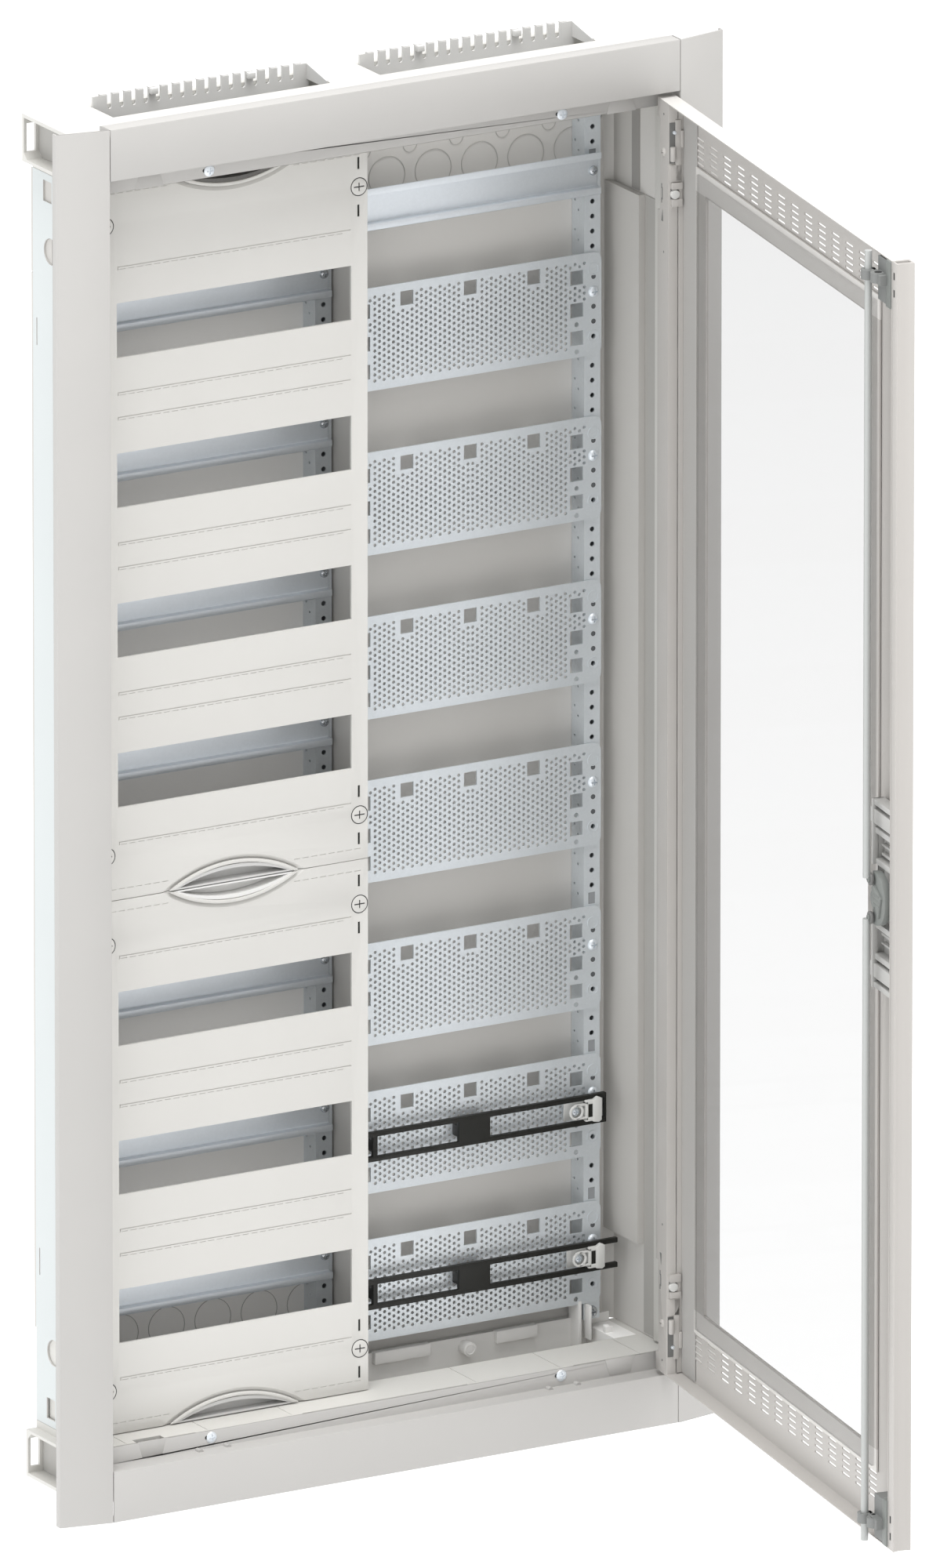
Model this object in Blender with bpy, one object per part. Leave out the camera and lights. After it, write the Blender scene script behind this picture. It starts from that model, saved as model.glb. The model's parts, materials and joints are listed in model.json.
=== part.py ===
"""Flush-mounted two-field switchboard cabinet with a glazed door.

The box is closed at its ends by two moulded caps and at its front by a four-piece sheet frame.
The left field has eight-module-high covers in front of top-hat rails, the right field has
perforated mounting plates on the same uprights. The door hangs on the right and stands open.

Frame: the origin is the centre of the back panel's outer face, +Z is up, and the front looks
along -Y. The sizes below are in millimetres; the meshes are written in metres.
"""
import bmesh
import bpy
from math import cos, radians, sin
from mathutils import Vector

MM = 0.001
GAP = 0.3                       # clearance between pieces that touch

# Front to back.
CABINET_DEPTH = 121.0
FRONT_Y = -CABINET_DEPTH        # face of the frame and of the closed door
WALL_Y = -105.7                 # plane of the plaster that the frame's outer flange lies on
LIP_Y = -104.3                  # front of the lip inside the frame
BOX_FRONT_Y = -102.5            # front edge of the box and its end caps
COVER_Y = -75.0                 # front of the covers
RAIL_BACK_Y = -21.8             # back of the rails' webs and of the mounting plates
UPRIGHT_Y = -21.5               # front of the uprights
BACK_SHEET = 1.5
SHEET = 1.2

# Frame.
FRAME_W = 616.0
FRAME_H = 1164.0
OPENING_W = 526.6
OPENING_H = 1078.0
FRAME_SLOPE = 8.8               # how far the side strips fall back towards the wall
LIP_OPENING_H = 1048.4
STRIKE_X = -217.8               # where the door's rods meet the lip
STRIKE_W = 26.0

# Box.
BOX_W = 540.0
BOX_CHAMFER = 8.0
SHELL_H = 1049.0
CAP_W = 559.2
CAP_H = 1141.0
CAP_WALL = 3.0
CAP_BACK_Y = -7.5
CAP_POCKET_H = 34.0
CAP_POCKET_X = 265.5
CAP_POCKET_CORNER = 5.0
CAP_SLOT_X = (268.5, 277.0)
CAP_SLOT_H = 24.0
CAP_COLLAR_H = 6.3              # part of each cap that is as narrow as the box
CAP_TONGUE_H = 6.5              # how far each cap reaches inside the shell, over its end
STRIKE_DEPTH = 9.0              # recess in each cap's front for the tip of a rod
STRIKE_TOP = 539.0
WELL_FRONT_Y = -55.0            # the ledge at the front of each cap ends here
WELL_W = 521.0
CABLE_SLOT_X = (23.0, 223.0)
CABLE_SLOT_Y = (-57.0, -19.0)

# Combs in the cable openings.
COMB_TEETH = 17
COMB_PITCH = 11.2
COMB_NOTCH_W = 4.4
COMB_NOTCH_D = 12.0
COMB_TOP_Z = 579.0
COMB_FRONT_Z = 572.0            # where the end tab's top comes down to at its front
COMB_TAB_Z = 566.0
COMB_BOTTOM_Z = 552.0
COMB_PLATE = 2.0

# Two fields of twelve modules, seven rows.
FIELD = 250.0
ROW_PITCH = 125.0
UPRIGHT_W = 15.0
UPRIGHT_H = 1034.0
UPRIGHT_X = (-239.6, -10.4, 10.4, 239.6)
ROW_Z = tuple(399.5 - ROW_PITCH * row for row in range(4)) + tuple(-175.5 - ROW_PITCH * row for row in range(3))
DIVIDER_FRONT_Y = -60.0
RAIL_LENGTH = 237.0
RAIL_H = 35.0
RAIL_DEPTH = 7.5
RAIL_SHEET = 1.0
RAIL_OFFSET_Z = 1.3
RIGHT_RAIL_Z = 450.8
PLATE_Z = (340.5, 203.0, 65.5, -72.0, -209.5, -334.5, -459.5)
PLATE_W = 244.0
PLATE_H = 86.1
PLATE_CORNER = 7.0

# Cable holders on the two lowest plates.
HOLDER_Y = -35.0
HOLDER_BAR = 4.2
HOLDER_SPREAD = 20.9
HOLDER_X = ((1.5, 245.6), (12.0, 256.5))
HOLDER_BLOCK_X = (108.0, 137.0)
HOLDER_STOP_X = (27.7, 31.9)
HOLDER_LEG_H = 10.0

# Covers of the left field.
COVER_X = (-249.7, -0.3)
UPPER_COVER_Z = (-75.2, 522.9)
LOWER_COVER_Z = (-523.9, -75.8)
COVER_SHEET = 2.5
COVER_SKIRT = 14.0
SKIRT_WALL = 2.0
WINDOW_X = (-231.4, -15.3)
WINDOW_H = 45.5
LOCK_X = (-241.8, -8.2)
UPPER_LOCK_Z = (487.0, -38.0)
LOWER_LOCK_Z = (-113.0, -488.0)
LOCK_R = 7.0
LOCK_SHAFT_R = 4.0
GRIP_X = -125.0
GRIP_W = 116.0
GRIP_H = 14.0
GRIP_DEPTH = 12.5
GRIP_RIM = 3.0

# Door, drawn shut: s runs from the hinge side to the free edge, h inwards from the rim.
DOOR_OPEN = 80.93               # degrees
HINGE_X = 257.0
HINGE_Y = -116.9
DOOR_ZERO_X = 257.16
DOOR_RIM_Y = -105.84
DOOR_S = (-2.0, 506.6)
DOOR_H = 1070.0
CHANNEL_S = 21.5
CHANNEL_DROP = 9.0
STRIP_S = (507.0, 518.0)
WINDOW_FRAME_S = (52.0, 451.0)
WINDOW_FRAME_Z = (-489.5, 489.5)
PANE_S = (74.0, 430.5)
PANE_Z = (-470.0, 470.1)
PANE_MARGIN = 15.0
PANE_THICK = 4.0
WINDOW_FRAME_RISE = 7.5

# Door hinges.
HINGE_ZONE = (441.5, 519.5)
KNUCKLE_Z = (456.0, 494.0)
KNUCKLE_R = 2.6
PIN_R = 1.5
PIN_CLEARANCE = 0.06
BOLT_S = (4.5, 19.5)            # plate of the door's half, inside the channel
BOLT_Z = (448.0, 514.0)
BOLT_ARM_S = (0.5, 6.0)         # arm that carries the pin
BOLT_ARM_Z = (496.0, 508.0)

# Lock and rods.
ROD_S = 475.0
ROD_H = 7.6
ROD_R = 3.0
ROD_Z = (17.0, 536.15)
GUIDE_Z = (496.5, 532.5)
GUIDE_RING_Z = (513.0, 521.0)
GUIDE_S = (480.0, 505.0)
HOUSING_Z = 78.5
HOUSING_S = (462.0, 505.0)
SPINDLE_R = 5.0
LEVER_REACH = 80.0
CAM_R = 15.0

ROUND = 24                      # segments of a round piece

for old in list(bpy.data.objects):
    bpy.data.objects.remove(old, do_unlink=True)


# --- helpers ---------------------------------------------------------------------------------

def finish(name, colour, roughness, metallic):
    """A material from the Principled BSDF."""
    made = bpy.data.materials.new(name)
    made.use_nodes = True
    shader = made.node_tree.nodes["Principled BSDF"]
    shader.inputs["Base Color"].default_value = (*colour, 1.0)
    shader.inputs["Roughness"].default_value = roughness
    shader.inputs["Metallic"].default_value = metallic
    made.diffuse_color = (*colour, 1.0)
    return made


PAINT = finish("powder_coat", (0.64, 0.63, 0.60), 0.45, 0.0)
MOULDED = finish("moulded_light_grey", (0.70, 0.69, 0.66), 0.50, 0.0)
STEEL_SIDE = finish("coated_box_steel", (0.55, 0.54, 0.52), 0.50, 0.0)
ZINC = finish("galvanised_steel", (0.62, 0.66, 0.70), 0.35, 0.8)
BLACK = finish("black_plastic", (0.02, 0.02, 0.02), 0.45, 0.0)
DARK = finish("dark_grey_plastic", (0.19, 0.20, 0.19), 0.50, 0.0)
GLASS = finish("window_glass", (0.85, 0.88, 0.88), 0.05, 0.0)

PLANES = {"X": ((0, 1, 0), (0, 0, 1), (1, 0, 0)),
          "Y": ((1, 0, 0), (0, 0, 1), (0, 1, 0)),
          "Z": ((1, 0, 0), (0, 1, 0), (0, 0, 1))}


def prism(axis, outline, low, high, holes=()):
    """An outline with holes, drawn across one axis and extruded along it from low to high."""
    across, up, along = (Vector(v) for v in PLANES[axis])
    shape = bmesh.new()
    for loop in (outline, *holes):
        verts = [shape.verts.new(across * u + up * v + along * low) for u, v in loop]
        for first, second in zip(verts, verts[1:] + verts[:1]):
            shape.edges.new((first, second))
    bmesh.ops.triangle_fill(shape, edges=shape.edges[:], use_beauty=True, use_dissolve=not holes)
    grown = bmesh.ops.extrude_face_region(shape, geom=shape.faces[:])
    moved = [item for item in grown["geom"] if isinstance(item, bmesh.types.BMVert)]
    bmesh.ops.translate(shape, verts=moved, vec=along * (high - low))
    bmesh.ops.recalc_face_normals(shape, faces=shape.faces[:])
    return shape


def rect(u_range, v_range):
    """A rectangle's outline."""
    (u0, u1), (v0, v1) = sorted(u_range), sorted(v_range)
    return [(u0, v0), (u1, v0), (u1, v1), (u0, v1)]


def arc(centre, radius, start, stop, steps):
    """Points on an arc, angles in degrees."""
    turns = [radians(start + (stop - start) * i / steps) for i in range(steps + 1)]
    return [(centre[0] + radius * cos(t), centre[1] + radius * sin(t)) for t in turns]


def circle(centre, radius, segments=ROUND):
    """A circle's outline."""
    return arc(centre, radius, 0.0, 360.0, segments)[:-1]


def box(x_range, y_range, z_range):
    """A block between two corners."""
    return prism("Z", rect(x_range, y_range), *sorted(z_range))


def sheet(points, thickness):
    """The outline of a bent sheet whose outer face follows the points, thickened to their left."""
    inner = []
    for i, point in enumerate(points):
        here = Vector(point)
        sides = []
        if i > 0:
            sides.append((here - Vector(points[i - 1])).normalized())
        if i < len(points) - 1:
            sides.append((Vector(points[i + 1]) - here).normalized())
        normals = [Vector((-side.y, side.x)) for side in sides]
        mitre = sum(normals, Vector((0.0, 0.0))).normalized()
        inner.append(tuple(here + mitre * thickness / mitre.dot(normals[0])))
    return list(points) + inner[::-1]


def lens(half_width, height, sign, grow=0.0):
    """Half of an eye: an arc over a chord at v = 0, rising to one side, centred on u = 0."""
    width = half_width + grow
    rise = height + grow
    radius = (width * width + rise * rise) / (2.0 * rise)
    points = []
    steps = 16
    for i in range(steps + 1):
        u = width * (1.0 - 2.0 * i / steps)
        points.append((u, sign * ((radius * radius - u * u) ** 0.5 - (radius - rise))))
    return points


def shifted(outline, du, dv):
    """An outline moved in its own plane."""
    return [(u + du, v + dv) for u, v in outline]


def mirrored(outline):
    """An outline mirrored across its first axis, its order kept the same way round."""
    return [(-u, v) for u, v in reversed(outline)]


CLOSED_AT = {}                  # where each empty stands with the door shut


def pivot(name, place, parent=None):
    """An empty on a joint's axis."""
    empty = bpy.data.objects.new(name, None)
    bpy.context.scene.collection.objects.link(empty)
    CLOSED_AT[empty] = Vector(place)
    empty.parent = parent
    empty.location = (Vector(place) - CLOSED_AT.get(parent, Vector())) * MM
    return empty


def solid(name, shape, material, origin, parent):
    """An object from a shape drawn in millimetres with the door shut."""
    bmesh.ops.translate(shape, verts=shape.verts[:], vec=-Vector(origin))
    bmesh.ops.scale(shape, verts=shape.verts[:], vec=(MM, MM, MM))
    data = bpy.data.meshes.new(name)
    shape.to_mesh(data)
    shape.free()
    data.materials.append(material)
    data.shade_smooth()
    data.set_sharp_from_angle(angle=radians(30.0))
    made = bpy.data.objects.new(name, data)
    bpy.context.scene.collection.objects.link(made)
    made.parent = parent
    made.location = (Vector(origin) - CLOSED_AT.get(parent, Vector())) * MM
    return made


def part(name, shape, material, add=(), cut=(), origin=(0, 0, 0), parent=None):
    """A named piece: a shape, with further shapes joined to it and then others cut from it."""
    made = solid(name, shape, material, origin, parent)
    for word, operation, tools in (("add", "UNION", add), ("cut", "DIFFERENCE", cut)):
        for number, tool in enumerate(tools, 1):
            guide = solid(f"{name}_{word}_{number}", tool, material, origin, parent)
            guide.hide_render = True
            guide.display_type = "WIRE"
            step = made.modifiers.new(f"{word}_{number}", "BOOLEAN")
            step.operation = operation
            step.solver = "EXACT"
            step.object = guide
    return made


# --- box and end caps ------------------------------------------------------------------------

def make_shell():
    """One folded sheet: two side walls and the back."""
    side = BOX_W / 2.0
    flat = side - BOX_CHAMFER
    outer = [(-side, BOX_FRONT_Y), (-side, CAP_BACK_Y), (-flat, 0.0),
             (flat, 0.0), (side, CAP_BACK_Y), (side, BOX_FRONT_Y)]
    outline = sheet(outer[::-1], BACK_SHEET)
    part("box_shell", prism("Z", outline, -SHELL_H / 2.0, SHELL_H / 2.0), STEEL_SIDE)


def make_cap(name, sign, cable_openings):
    """A moulded end cap: a ledge in front, a well behind it, a pocket at each side."""
    near = SHELL_H / 2.0 + GAP
    far = CAP_H / 2.0
    side = CAP_W / 2.0
    step = near + CAP_COLLAR_H
    body = box((-side, side), (BOX_FRONT_Y, CAP_BACK_Y), (sign * step, sign * far))
    collar = box((-BOX_W / 2.0, BOX_W / 2.0), (BOX_FRONT_Y, CAP_BACK_Y), (sign * near, sign * (step + 1.0)))
    well = box((-WELL_W / 2.0, WELL_W / 2.0), (WELL_FRONT_Y, CAP_BACK_Y - CAP_WALL),
               (sign * (near - 9.0), sign * (far - CAP_WALL)))
    front = box((-WELL_W / 2.0, WELL_W / 2.0), (BOX_FRONT_Y - 1.0, WELL_FRONT_Y - CAP_WALL),
                (sign * (near + CAP_WALL), sign * (far - CAP_WALL)))
    tongue = box((-BOX_W / 2.0 + 12.0, BOX_W / 2.0 - 12.0), (CAP_BACK_Y - CAP_WALL, -BACK_SHEET - GAP),
                 (sign * (near - CAP_TONGUE_H), sign * (near + 4.0)))
    strike = box((STRIKE_X - STRIKE_W / 2.0, STRIKE_X + STRIKE_W / 2.0),
                 (BOX_FRONT_Y - 1.0, BOX_FRONT_Y + STRIKE_DEPTH), (sign * (near - 1.0), sign * STRIKE_TOP))
    cuts = [well, front, strike]
    pocket_z = (far - CAP_WALL - CAP_POCKET_H, far - CAP_WALL)
    for end in (-1.0, 1.0):
        corner = CAP_POCKET_CORNER
        y_range = (BOX_FRONT_Y + CAP_WALL, CAP_BACK_Y - CAP_WALL)
        outline = [(y_range[0], sign * pocket_z[0]), (y_range[1] - corner, sign * pocket_z[0]),
                   (y_range[1], sign * (pocket_z[0] + corner)), (y_range[1], sign * pocket_z[1]),
                   (y_range[0], sign * pocket_z[1])]
        reach = sorted((end * CAP_POCKET_X, end * (side + 1.0)))
        cuts.append(prism("X", outline, *reach))
        slot_x = [end * x for x in CAP_SLOT_X]
        middle = sign * sum(pocket_z) / 2.0
        slot_z = (middle - CAP_SLOT_H / 2.0, middle + CAP_SLOT_H / 2.0)
        cuts.append(box(slot_x, (CAP_BACK_Y - CAP_WALL - 1.0, CAP_BACK_Y + 1.0), slot_z))
    if cable_openings:
        for end in (-1.0, 1.0):
            slot = (end * CABLE_SLOT_X[0], end * CABLE_SLOT_X[1])
            cuts.append(box(slot, (CABLE_SLOT_Y[0] + 2.0, CABLE_SLOT_Y[1]), (far - CAP_WALL - 1.0, far + 1.0)))
    part(name, body, MOULDED, add=[collar, tongue], cut=cuts)


def make_comb(name, centre_x):
    """A toothed plate at the back of a cable opening, with a tab that runs forward at its right end."""
    half = (CABLE_SLOT_X[1] - CABLE_SLOT_X[0]) / 2.0 - 0.5
    bottom = COMB_BOTTOM_Z
    notch_floor = COMB_TOP_Z - COMB_NOTCH_D
    outline = [(centre_x + half, bottom), (centre_x + half, COMB_TOP_Z)]
    gaps = COMB_TEETH - 1
    for k in range(gaps):
        middle = centre_x + COMB_PITCH * ((gaps - 1) / 2.0 - k)
        radius = COMB_NOTCH_W / 2.0
        outline.append((middle + radius, COMB_TOP_Z))
        outline += arc((middle, notch_floor + radius), radius, 0.0, -180.0, 4)
        outline.append((middle - radius, COMB_TOP_Z))
    outline += [(centre_x - half, COMB_TOP_Z), (centre_x - half, bottom)]
    back = CABLE_SLOT_Y[1] - GAP
    plate = prism("Y", outline, back - COMB_PLATE, back)
    tab_outline = [(CABLE_SLOT_Y[0] + 4.0, COMB_TAB_Z), (back - 0.5, COMB_TAB_Z),
                   (back - 0.5, COMB_TOP_Z), (CABLE_SLOT_Y[0] + 4.0, COMB_FRONT_Z)]
    tab = prism("X", tab_outline, centre_x + half - COMB_PLATE, centre_x + half)
    part(name, plate, MOULDED, add=[tab])


# --- frame -----------------------------------------------------------------------------------

def make_side_strip(name, sign):
    """A full-height strip: outer flange, sloping face, flat return into the opening."""
    outer = FRAME_W / 2.0
    inner = OPENING_W / 2.0
    bend = [(outer, WALL_Y), (outer, FRONT_Y + FRAME_SLOPE), (inner, FRONT_Y), (inner, WALL_Y)]
    outline = sheet(bend[::-1], SHEET)
    if sign < 0:
        outline = mirrored(outline)
    part(name, prism("Z", outline, -FRAME_H / 2.0, FRAME_H / 2.0), PAINT)


def make_cross_strip(name, sign):
    """A strip between the side strips, with the return and the lip that the door shuts against."""
    outer = FRAME_H / 2.0
    inner = OPENING_H / 2.0
    lip = LIP_OPENING_H / 2.0
    reach = OPENING_W / 2.0 - GAP
    bend = [(WALL_Y, outer), (FRONT_Y, outer), (FRONT_Y, inner), (LIP_Y, inner), (LIP_Y, lip)]
    strip = prism("X", sheet(bend, SHEET), -reach, reach)
    if sign < 0:
        bmesh.ops.scale(strip, verts=strip.verts[:], vec=(1, 1, -1))
        bmesh.ops.reverse_faces(strip, faces=strip.faces[:])
    top = inner - 1.9
    notch = [(STRIKE_X - STRIKE_W / 2.0, sign * (lip - 1.0)), (STRIKE_X + STRIKE_W / 2.0, sign * (lip - 1.0)),
             (STRIKE_X + STRIKE_W / 2.0 - 4.0, sign * top), (STRIKE_X - STRIKE_W / 2.0 + 4.0, sign * top)]
    part(name, strip, PAINT, cut=[prism("Y", notch, LIP_Y - 0.9, LIP_Y + 3.0)])


# --- uprights, rails, plates -----------------------------------------------------------------

def make_upright(name, x):
    """A channel that stands on the back sheet, open to the back."""
    left = x - UPRIGHT_W / 2.0
    right = x + UPRIGHT_W / 2.0
    foot = -BACK_SHEET - GAP
    outline = sheet([(left, foot), (left, UPRIGHT_Y), (right, UPRIGHT_Y), (right, foot)], SHEET)
    part(name, prism("Z", outline, -UPRIGHT_H / 2.0, UPRIGHT_H / 2.0), ZINC)


def make_divider():
    """A sheet between the two fields, from the back up to the covers' skirts."""
    part("field_divider", box((-BACK_SHEET / 2.0, BACK_SHEET / 2.0), (DIVIDER_FRONT_Y, -BACK_SHEET - GAP),
                              (-UPRIGHT_H / 2.0, UPRIGHT_H / 2.0)), STEEL_SIDE)


def make_rail(name, x, z):
    """A 35 mm top-hat rail."""
    front = RAIL_BACK_Y - RAIL_DEPTH + RAIL_SHEET
    half = RAIL_H / 2.0
    web = half - 4.6
    outer = [(front, z - half), (front, z - web), (RAIL_BACK_Y, z - web),
             (RAIL_BACK_Y, z + web), (front, z + web), (front, z + half)]
    outline = sheet(outer, RAIL_SHEET)
    part(name, prism("X", outline, x - RAIL_LENGTH / 2.0, x + RAIL_LENGTH / 2.0), ZINC)


def make_plate(name, z):
    """A mounting plate with rounded corners and rows of square openings."""
    centre = FIELD / 2.0
    half_w = PLATE_W / 2.0 - PLATE_CORNER
    half_h = PLATE_H / 2.0 - PLATE_CORNER
    outline = []
    for su, sv, start in ((1, 1, 0), (-1, 1, 90), (-1, -1, 180), (1, -1, 270)):
        outline += arc((centre + su * half_w, z + sv * half_h), PLATE_CORNER, start, start + 90, 4)
    part(name, prism("Y", outline, RAIL_BACK_Y - BACK_SHEET, RAIL_BACK_Y), ZINC)


def make_holder(name, z, reach, closed_end):
    """A black cable holder: two bars joined by a block and a stop, each with a leg to the plate."""
    low = z - (HOLDER_SPREAD + HOLDER_BAR) / 2.0
    high = z + (HOLDER_SPREAD + HOLDER_BAR) / 2.0
    depth = (HOLDER_Y, HOLDER_Y + HOLDER_BAR)
    leg_y = (HOLDER_Y + 1.0, RAIL_BACK_Y - BACK_SHEET - GAP)
    leg_z = (z - HOLDER_LEG_H / 2.0, z + HOLDER_LEG_H / 2.0)
    bar = box(reach, depth, (low, low + HOLDER_BAR))
    joined = [box(reach, depth, (high - HOLDER_BAR, high))]
    for place in (HOLDER_BLOCK_X, HOLDER_STOP_X):
        joined += [box(place, depth, (low, high)), box(place, leg_y, leg_z)]
    if closed_end:
        joined.append(box((reach[1] - 1.5, reach[1]), depth, (low, high)))
    part(name, bar, BLACK, add=joined)


# --- covers ----------------------------------------------------------------------------------

def make_cover(name, z_range, rows, lock_z):
    """A moulded cover: a face with windows and lock holes, and a skirt all round."""
    holes = [rect(WINDOW_X, (z - WINDOW_H / 2.0, z + WINDOW_H / 2.0)) for z in rows]
    holes += [circle((x, z), LOCK_R + GAP, ROUND) for x in LOCK_X for z in lock_z]
    face = prism("Y", rect(COVER_X, z_range), COVER_Y, COVER_Y + COVER_SHEET, holes)
    inside = rect((COVER_X[0] + SKIRT_WALL, COVER_X[1] - SKIRT_WALL),
                  (z_range[0] + SKIRT_WALL, z_range[1] - SKIRT_WALL))
    skirt = prism("Y", rect(COVER_X, z_range), COVER_Y + COVER_SHEET - 0.5, COVER_Y + COVER_SKIRT, [inside])
    eyes = []
    for edge, sign in ((z_range[0], 1.0), (z_range[1], -1.0)):
        eye = lens(GRIP_W / 2.0, GRIP_H, sign, GAP)
        eye = eye + [(-GRIP_W / 2.0 - GAP, -sign * 2.0), (GRIP_W / 2.0 + GAP, -sign * 2.0)]
        eyes.append(prism("Y", shifted(eye, GRIP_X, edge), COVER_Y - 1.0, COVER_Y + COVER_SKIRT + 1.0))
    pull = pivot(name + "_slide", (GRIP_X, COVER_Y, sum(z_range) / 2.0))
    part(name, face, MOULDED, add=[skirt], cut=eyes, origin=(GRIP_X, COVER_Y, sum(z_range) / 2.0), parent=pull)
    return pull


def make_grip(name, edge, sign, pull):
    """A finger dish of half an eye, let into a cover's edge."""
    inset = edge + sign * 0.2
    dish = prism("Y", shifted(lens(GRIP_W / 2.0 - 1.2, GRIP_H - 0.4, sign), GRIP_X, inset),
                 COVER_Y - 0.5, COVER_Y + GRIP_DEPTH)
    hollow = lens(GRIP_W / 2.0 - 2.6 * GRIP_RIM, GRIP_H - GRIP_RIM - 1.6, sign)
    cutter = prism("Y", shifted(hollow, GRIP_X, inset + sign * 1.2), COVER_Y - 2.0,
                   COVER_Y + GRIP_DEPTH - 2.0)
    part(name, dish, MOULDED, cut=[cutter], origin=(GRIP_X, COVER_Y, edge), parent=pull)


def make_cover_lock(name, x, z, pull):
    """A quarter-turn lock: a slotted head in the cover and a shaft back to the upright."""
    head = prism("Y", circle((x, z), LOCK_R), COVER_Y - 0.4, COVER_Y + COVER_SHEET - 0.5 - GAP)
    shaft = prism("Y", circle((x, z), LOCK_SHAFT_R, 16), COVER_Y + 1.0, RAIL_BACK_Y)
    slot = box((x - 4.5, x + 4.5), (COVER_Y - 1.0, COVER_Y + 0.6), (z - 0.6, z + 0.6))
    axis = pivot(name + "_axis", (x, COVER_Y, z), pull)
    part(name, head, MOULDED, add=[shaft], cut=[slot], origin=(x, COVER_Y, z), parent=axis)


# --- door ------------------------------------------------------------------------------------

def at_s(s):
    """X of a place on the shut door, measured from its hinge side."""
    return DOOR_ZERO_X - s


def span_s(pair):
    """X range of a stretch of the shut door."""
    return (at_s(pair[1]), at_s(pair[0]))


def make_door_panel(hinge):
    """A folded tray with a window opening, and a hollow channel along the hinge side."""
    half = DOOR_H / 2.0
    skin = FRONT_Y
    inside = skin + SHEET + GAP
    free = at_s(DOOR_S[1])
    start = at_s(DOOR_S[0])
    channel = at_s(CHANNEL_S)
    bend = [(channel, DOOR_RIM_Y - CHANNEL_DROP), (channel, DOOR_RIM_Y), (start, DOOR_RIM_Y),
            (start, skin), (free, skin), (free, DOOR_RIM_Y)]
    tray = prism("Z", sheet(bend[::-1], SHEET), -half, half)
    window = box(span_s(PANE_S), (skin - 1.0, skin + 5.0), PANE_Z)
    flanges = [box((free + 0.4, start - 0.4), (skin + 0.4, DOOR_RIM_Y), (sign * (half - SHEET), sign * half))
               for sign in (-1.0, 1.0)]
    notches = [box((at_s(3.0), at_s(-4.0)), (inside, DOOR_RIM_Y + 1.0), [sign * z for z in HINGE_ZONE])
               for sign in (-1.0, 1.0)]
    spindle_hole = prism("Y", circle((at_s(ROD_S), 0.0), SPINDLE_R + 0.5), skin - 1.0, skin + 4.0)
    part("door_panel", tray, PAINT, add=flanges, cut=[window, *notches, spindle_hole],
         origin=(HINGE_X, HINGE_Y, 0), parent=hinge)


def make_window(hinge):
    """The pane, and the raised frame that holds it against the skin."""
    inside = FRONT_Y + SHEET + GAP
    pane_s = (PANE_S[0] - PANE_MARGIN, PANE_S[1] + PANE_MARGIN)
    pane_z = (PANE_Z[0] - PANE_MARGIN, PANE_Z[1] + PANE_MARGIN)
    pane_y = (inside, inside + PANE_THICK)
    part("window_pane", box(span_s(pane_s), pane_y, pane_z), GLASS,
         origin=(HINGE_X, HINGE_Y, 0), parent=hinge)
    ring = prism("Y", rect(span_s(WINDOW_FRAME_S), WINDOW_FRAME_Z), inside, inside + WINDOW_FRAME_RISE,
                 [rect(span_s(PANE_S), PANE_Z)])
    rebate = box((at_s(pane_s[1]) - 0.4, at_s(pane_s[0]) + 0.4), (inside - 1.0, pane_y[1] + GAP),
                 (pane_z[0] - 0.4, pane_z[1] + 0.4))
    part("window_frame", ring, PAINT, cut=[rebate], origin=(HINGE_X, HINGE_Y, 0), parent=hinge)


def make_grip_strip(hinge):
    """The profile along the free edge, with a hollow face for the fingers."""
    near = at_s(STRIP_S[0])
    edge = at_s(STRIP_S[1])
    depth = DOOR_RIM_Y - FRONT_Y
    sag = 2.0
    radius = (depth * depth / 4.0 + sag * sag) / (2.0 * sag)
    steps = 8
    face = []
    for i in range(steps + 1):
        v = depth * (i / steps - 0.5)
        bow = (radius * radius - v * v) ** 0.5 - (radius - sag)
        face.append((edge + bow, FRONT_Y + depth / 2.0 + v))
    outline = [(near, FRONT_Y), *face, (near, DOOR_RIM_Y)]
    hollow = rect((edge + sag + 1.6, near - 1.6), (FRONT_Y + 1.6, DOOR_RIM_Y - 1.6))
    half = DOOR_H / 2.0
    part("grip_strip", prism("Z", outline, -half, half, [hollow]), PAINT,
         origin=(HINGE_X, HINGE_Y, 0), parent=hinge)


def make_hinges(hinge):
    """On the frame a knuckle on an arm that comes from behind; on the door a bracket with the pin."""
    for word, sign in (("upper", 1.0), ("lower", -1.0)):
        knuckle_z = sorted(sign * z for z in KNUCKLE_Z)
        knuckle = prism("Z", circle((HINGE_X, HINGE_Y), KNUCKLE_R), *knuckle_z)
        arm = box((HINGE_X - 1.9, HINGE_X + 0.7), (HINGE_Y + 1.5, WALL_Y + 0.4), knuckle_z)
        foot = box((HINGE_X - 1.9, OPENING_W / 2.0 - GAP), (WALL_Y - 1.4, WALL_Y + 0.4), knuckle_z)
        bore = prism("Z", circle((HINGE_X, HINGE_Y), PIN_R + PIN_CLEARANCE),
                     knuckle_z[0] - 1.0, knuckle_z[1] + 1.0)
        part(f"frame_hinge_{word}", knuckle, ZINC, add=[arm, foot], cut=[bore])
        pin_z = sorted(sign * z for z in (KNUCKLE_Z[0] - 4.0, KNUCKLE_Z[1] + 10.0))
        pin = prism("Z", circle((HINGE_X, HINGE_Y), PIN_R), *pin_z)
        skin_in = FRONT_Y + SHEET + GAP
        base = box(span_s(BOLT_S), (skin_in + GAP, DOOR_RIM_Y - SHEET - GAP), [sign * z for z in BOLT_Z])
        reach = box(span_s(BOLT_ARM_S), (skin_in + GAP, HINGE_Y + 1.4), [sign * z for z in BOLT_ARM_Z])
        part(f"hinge_bolt_{word}", base, ZINC, add=[reach, pin], origin=(HINGE_X, HINGE_Y, 0), parent=hinge)


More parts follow.
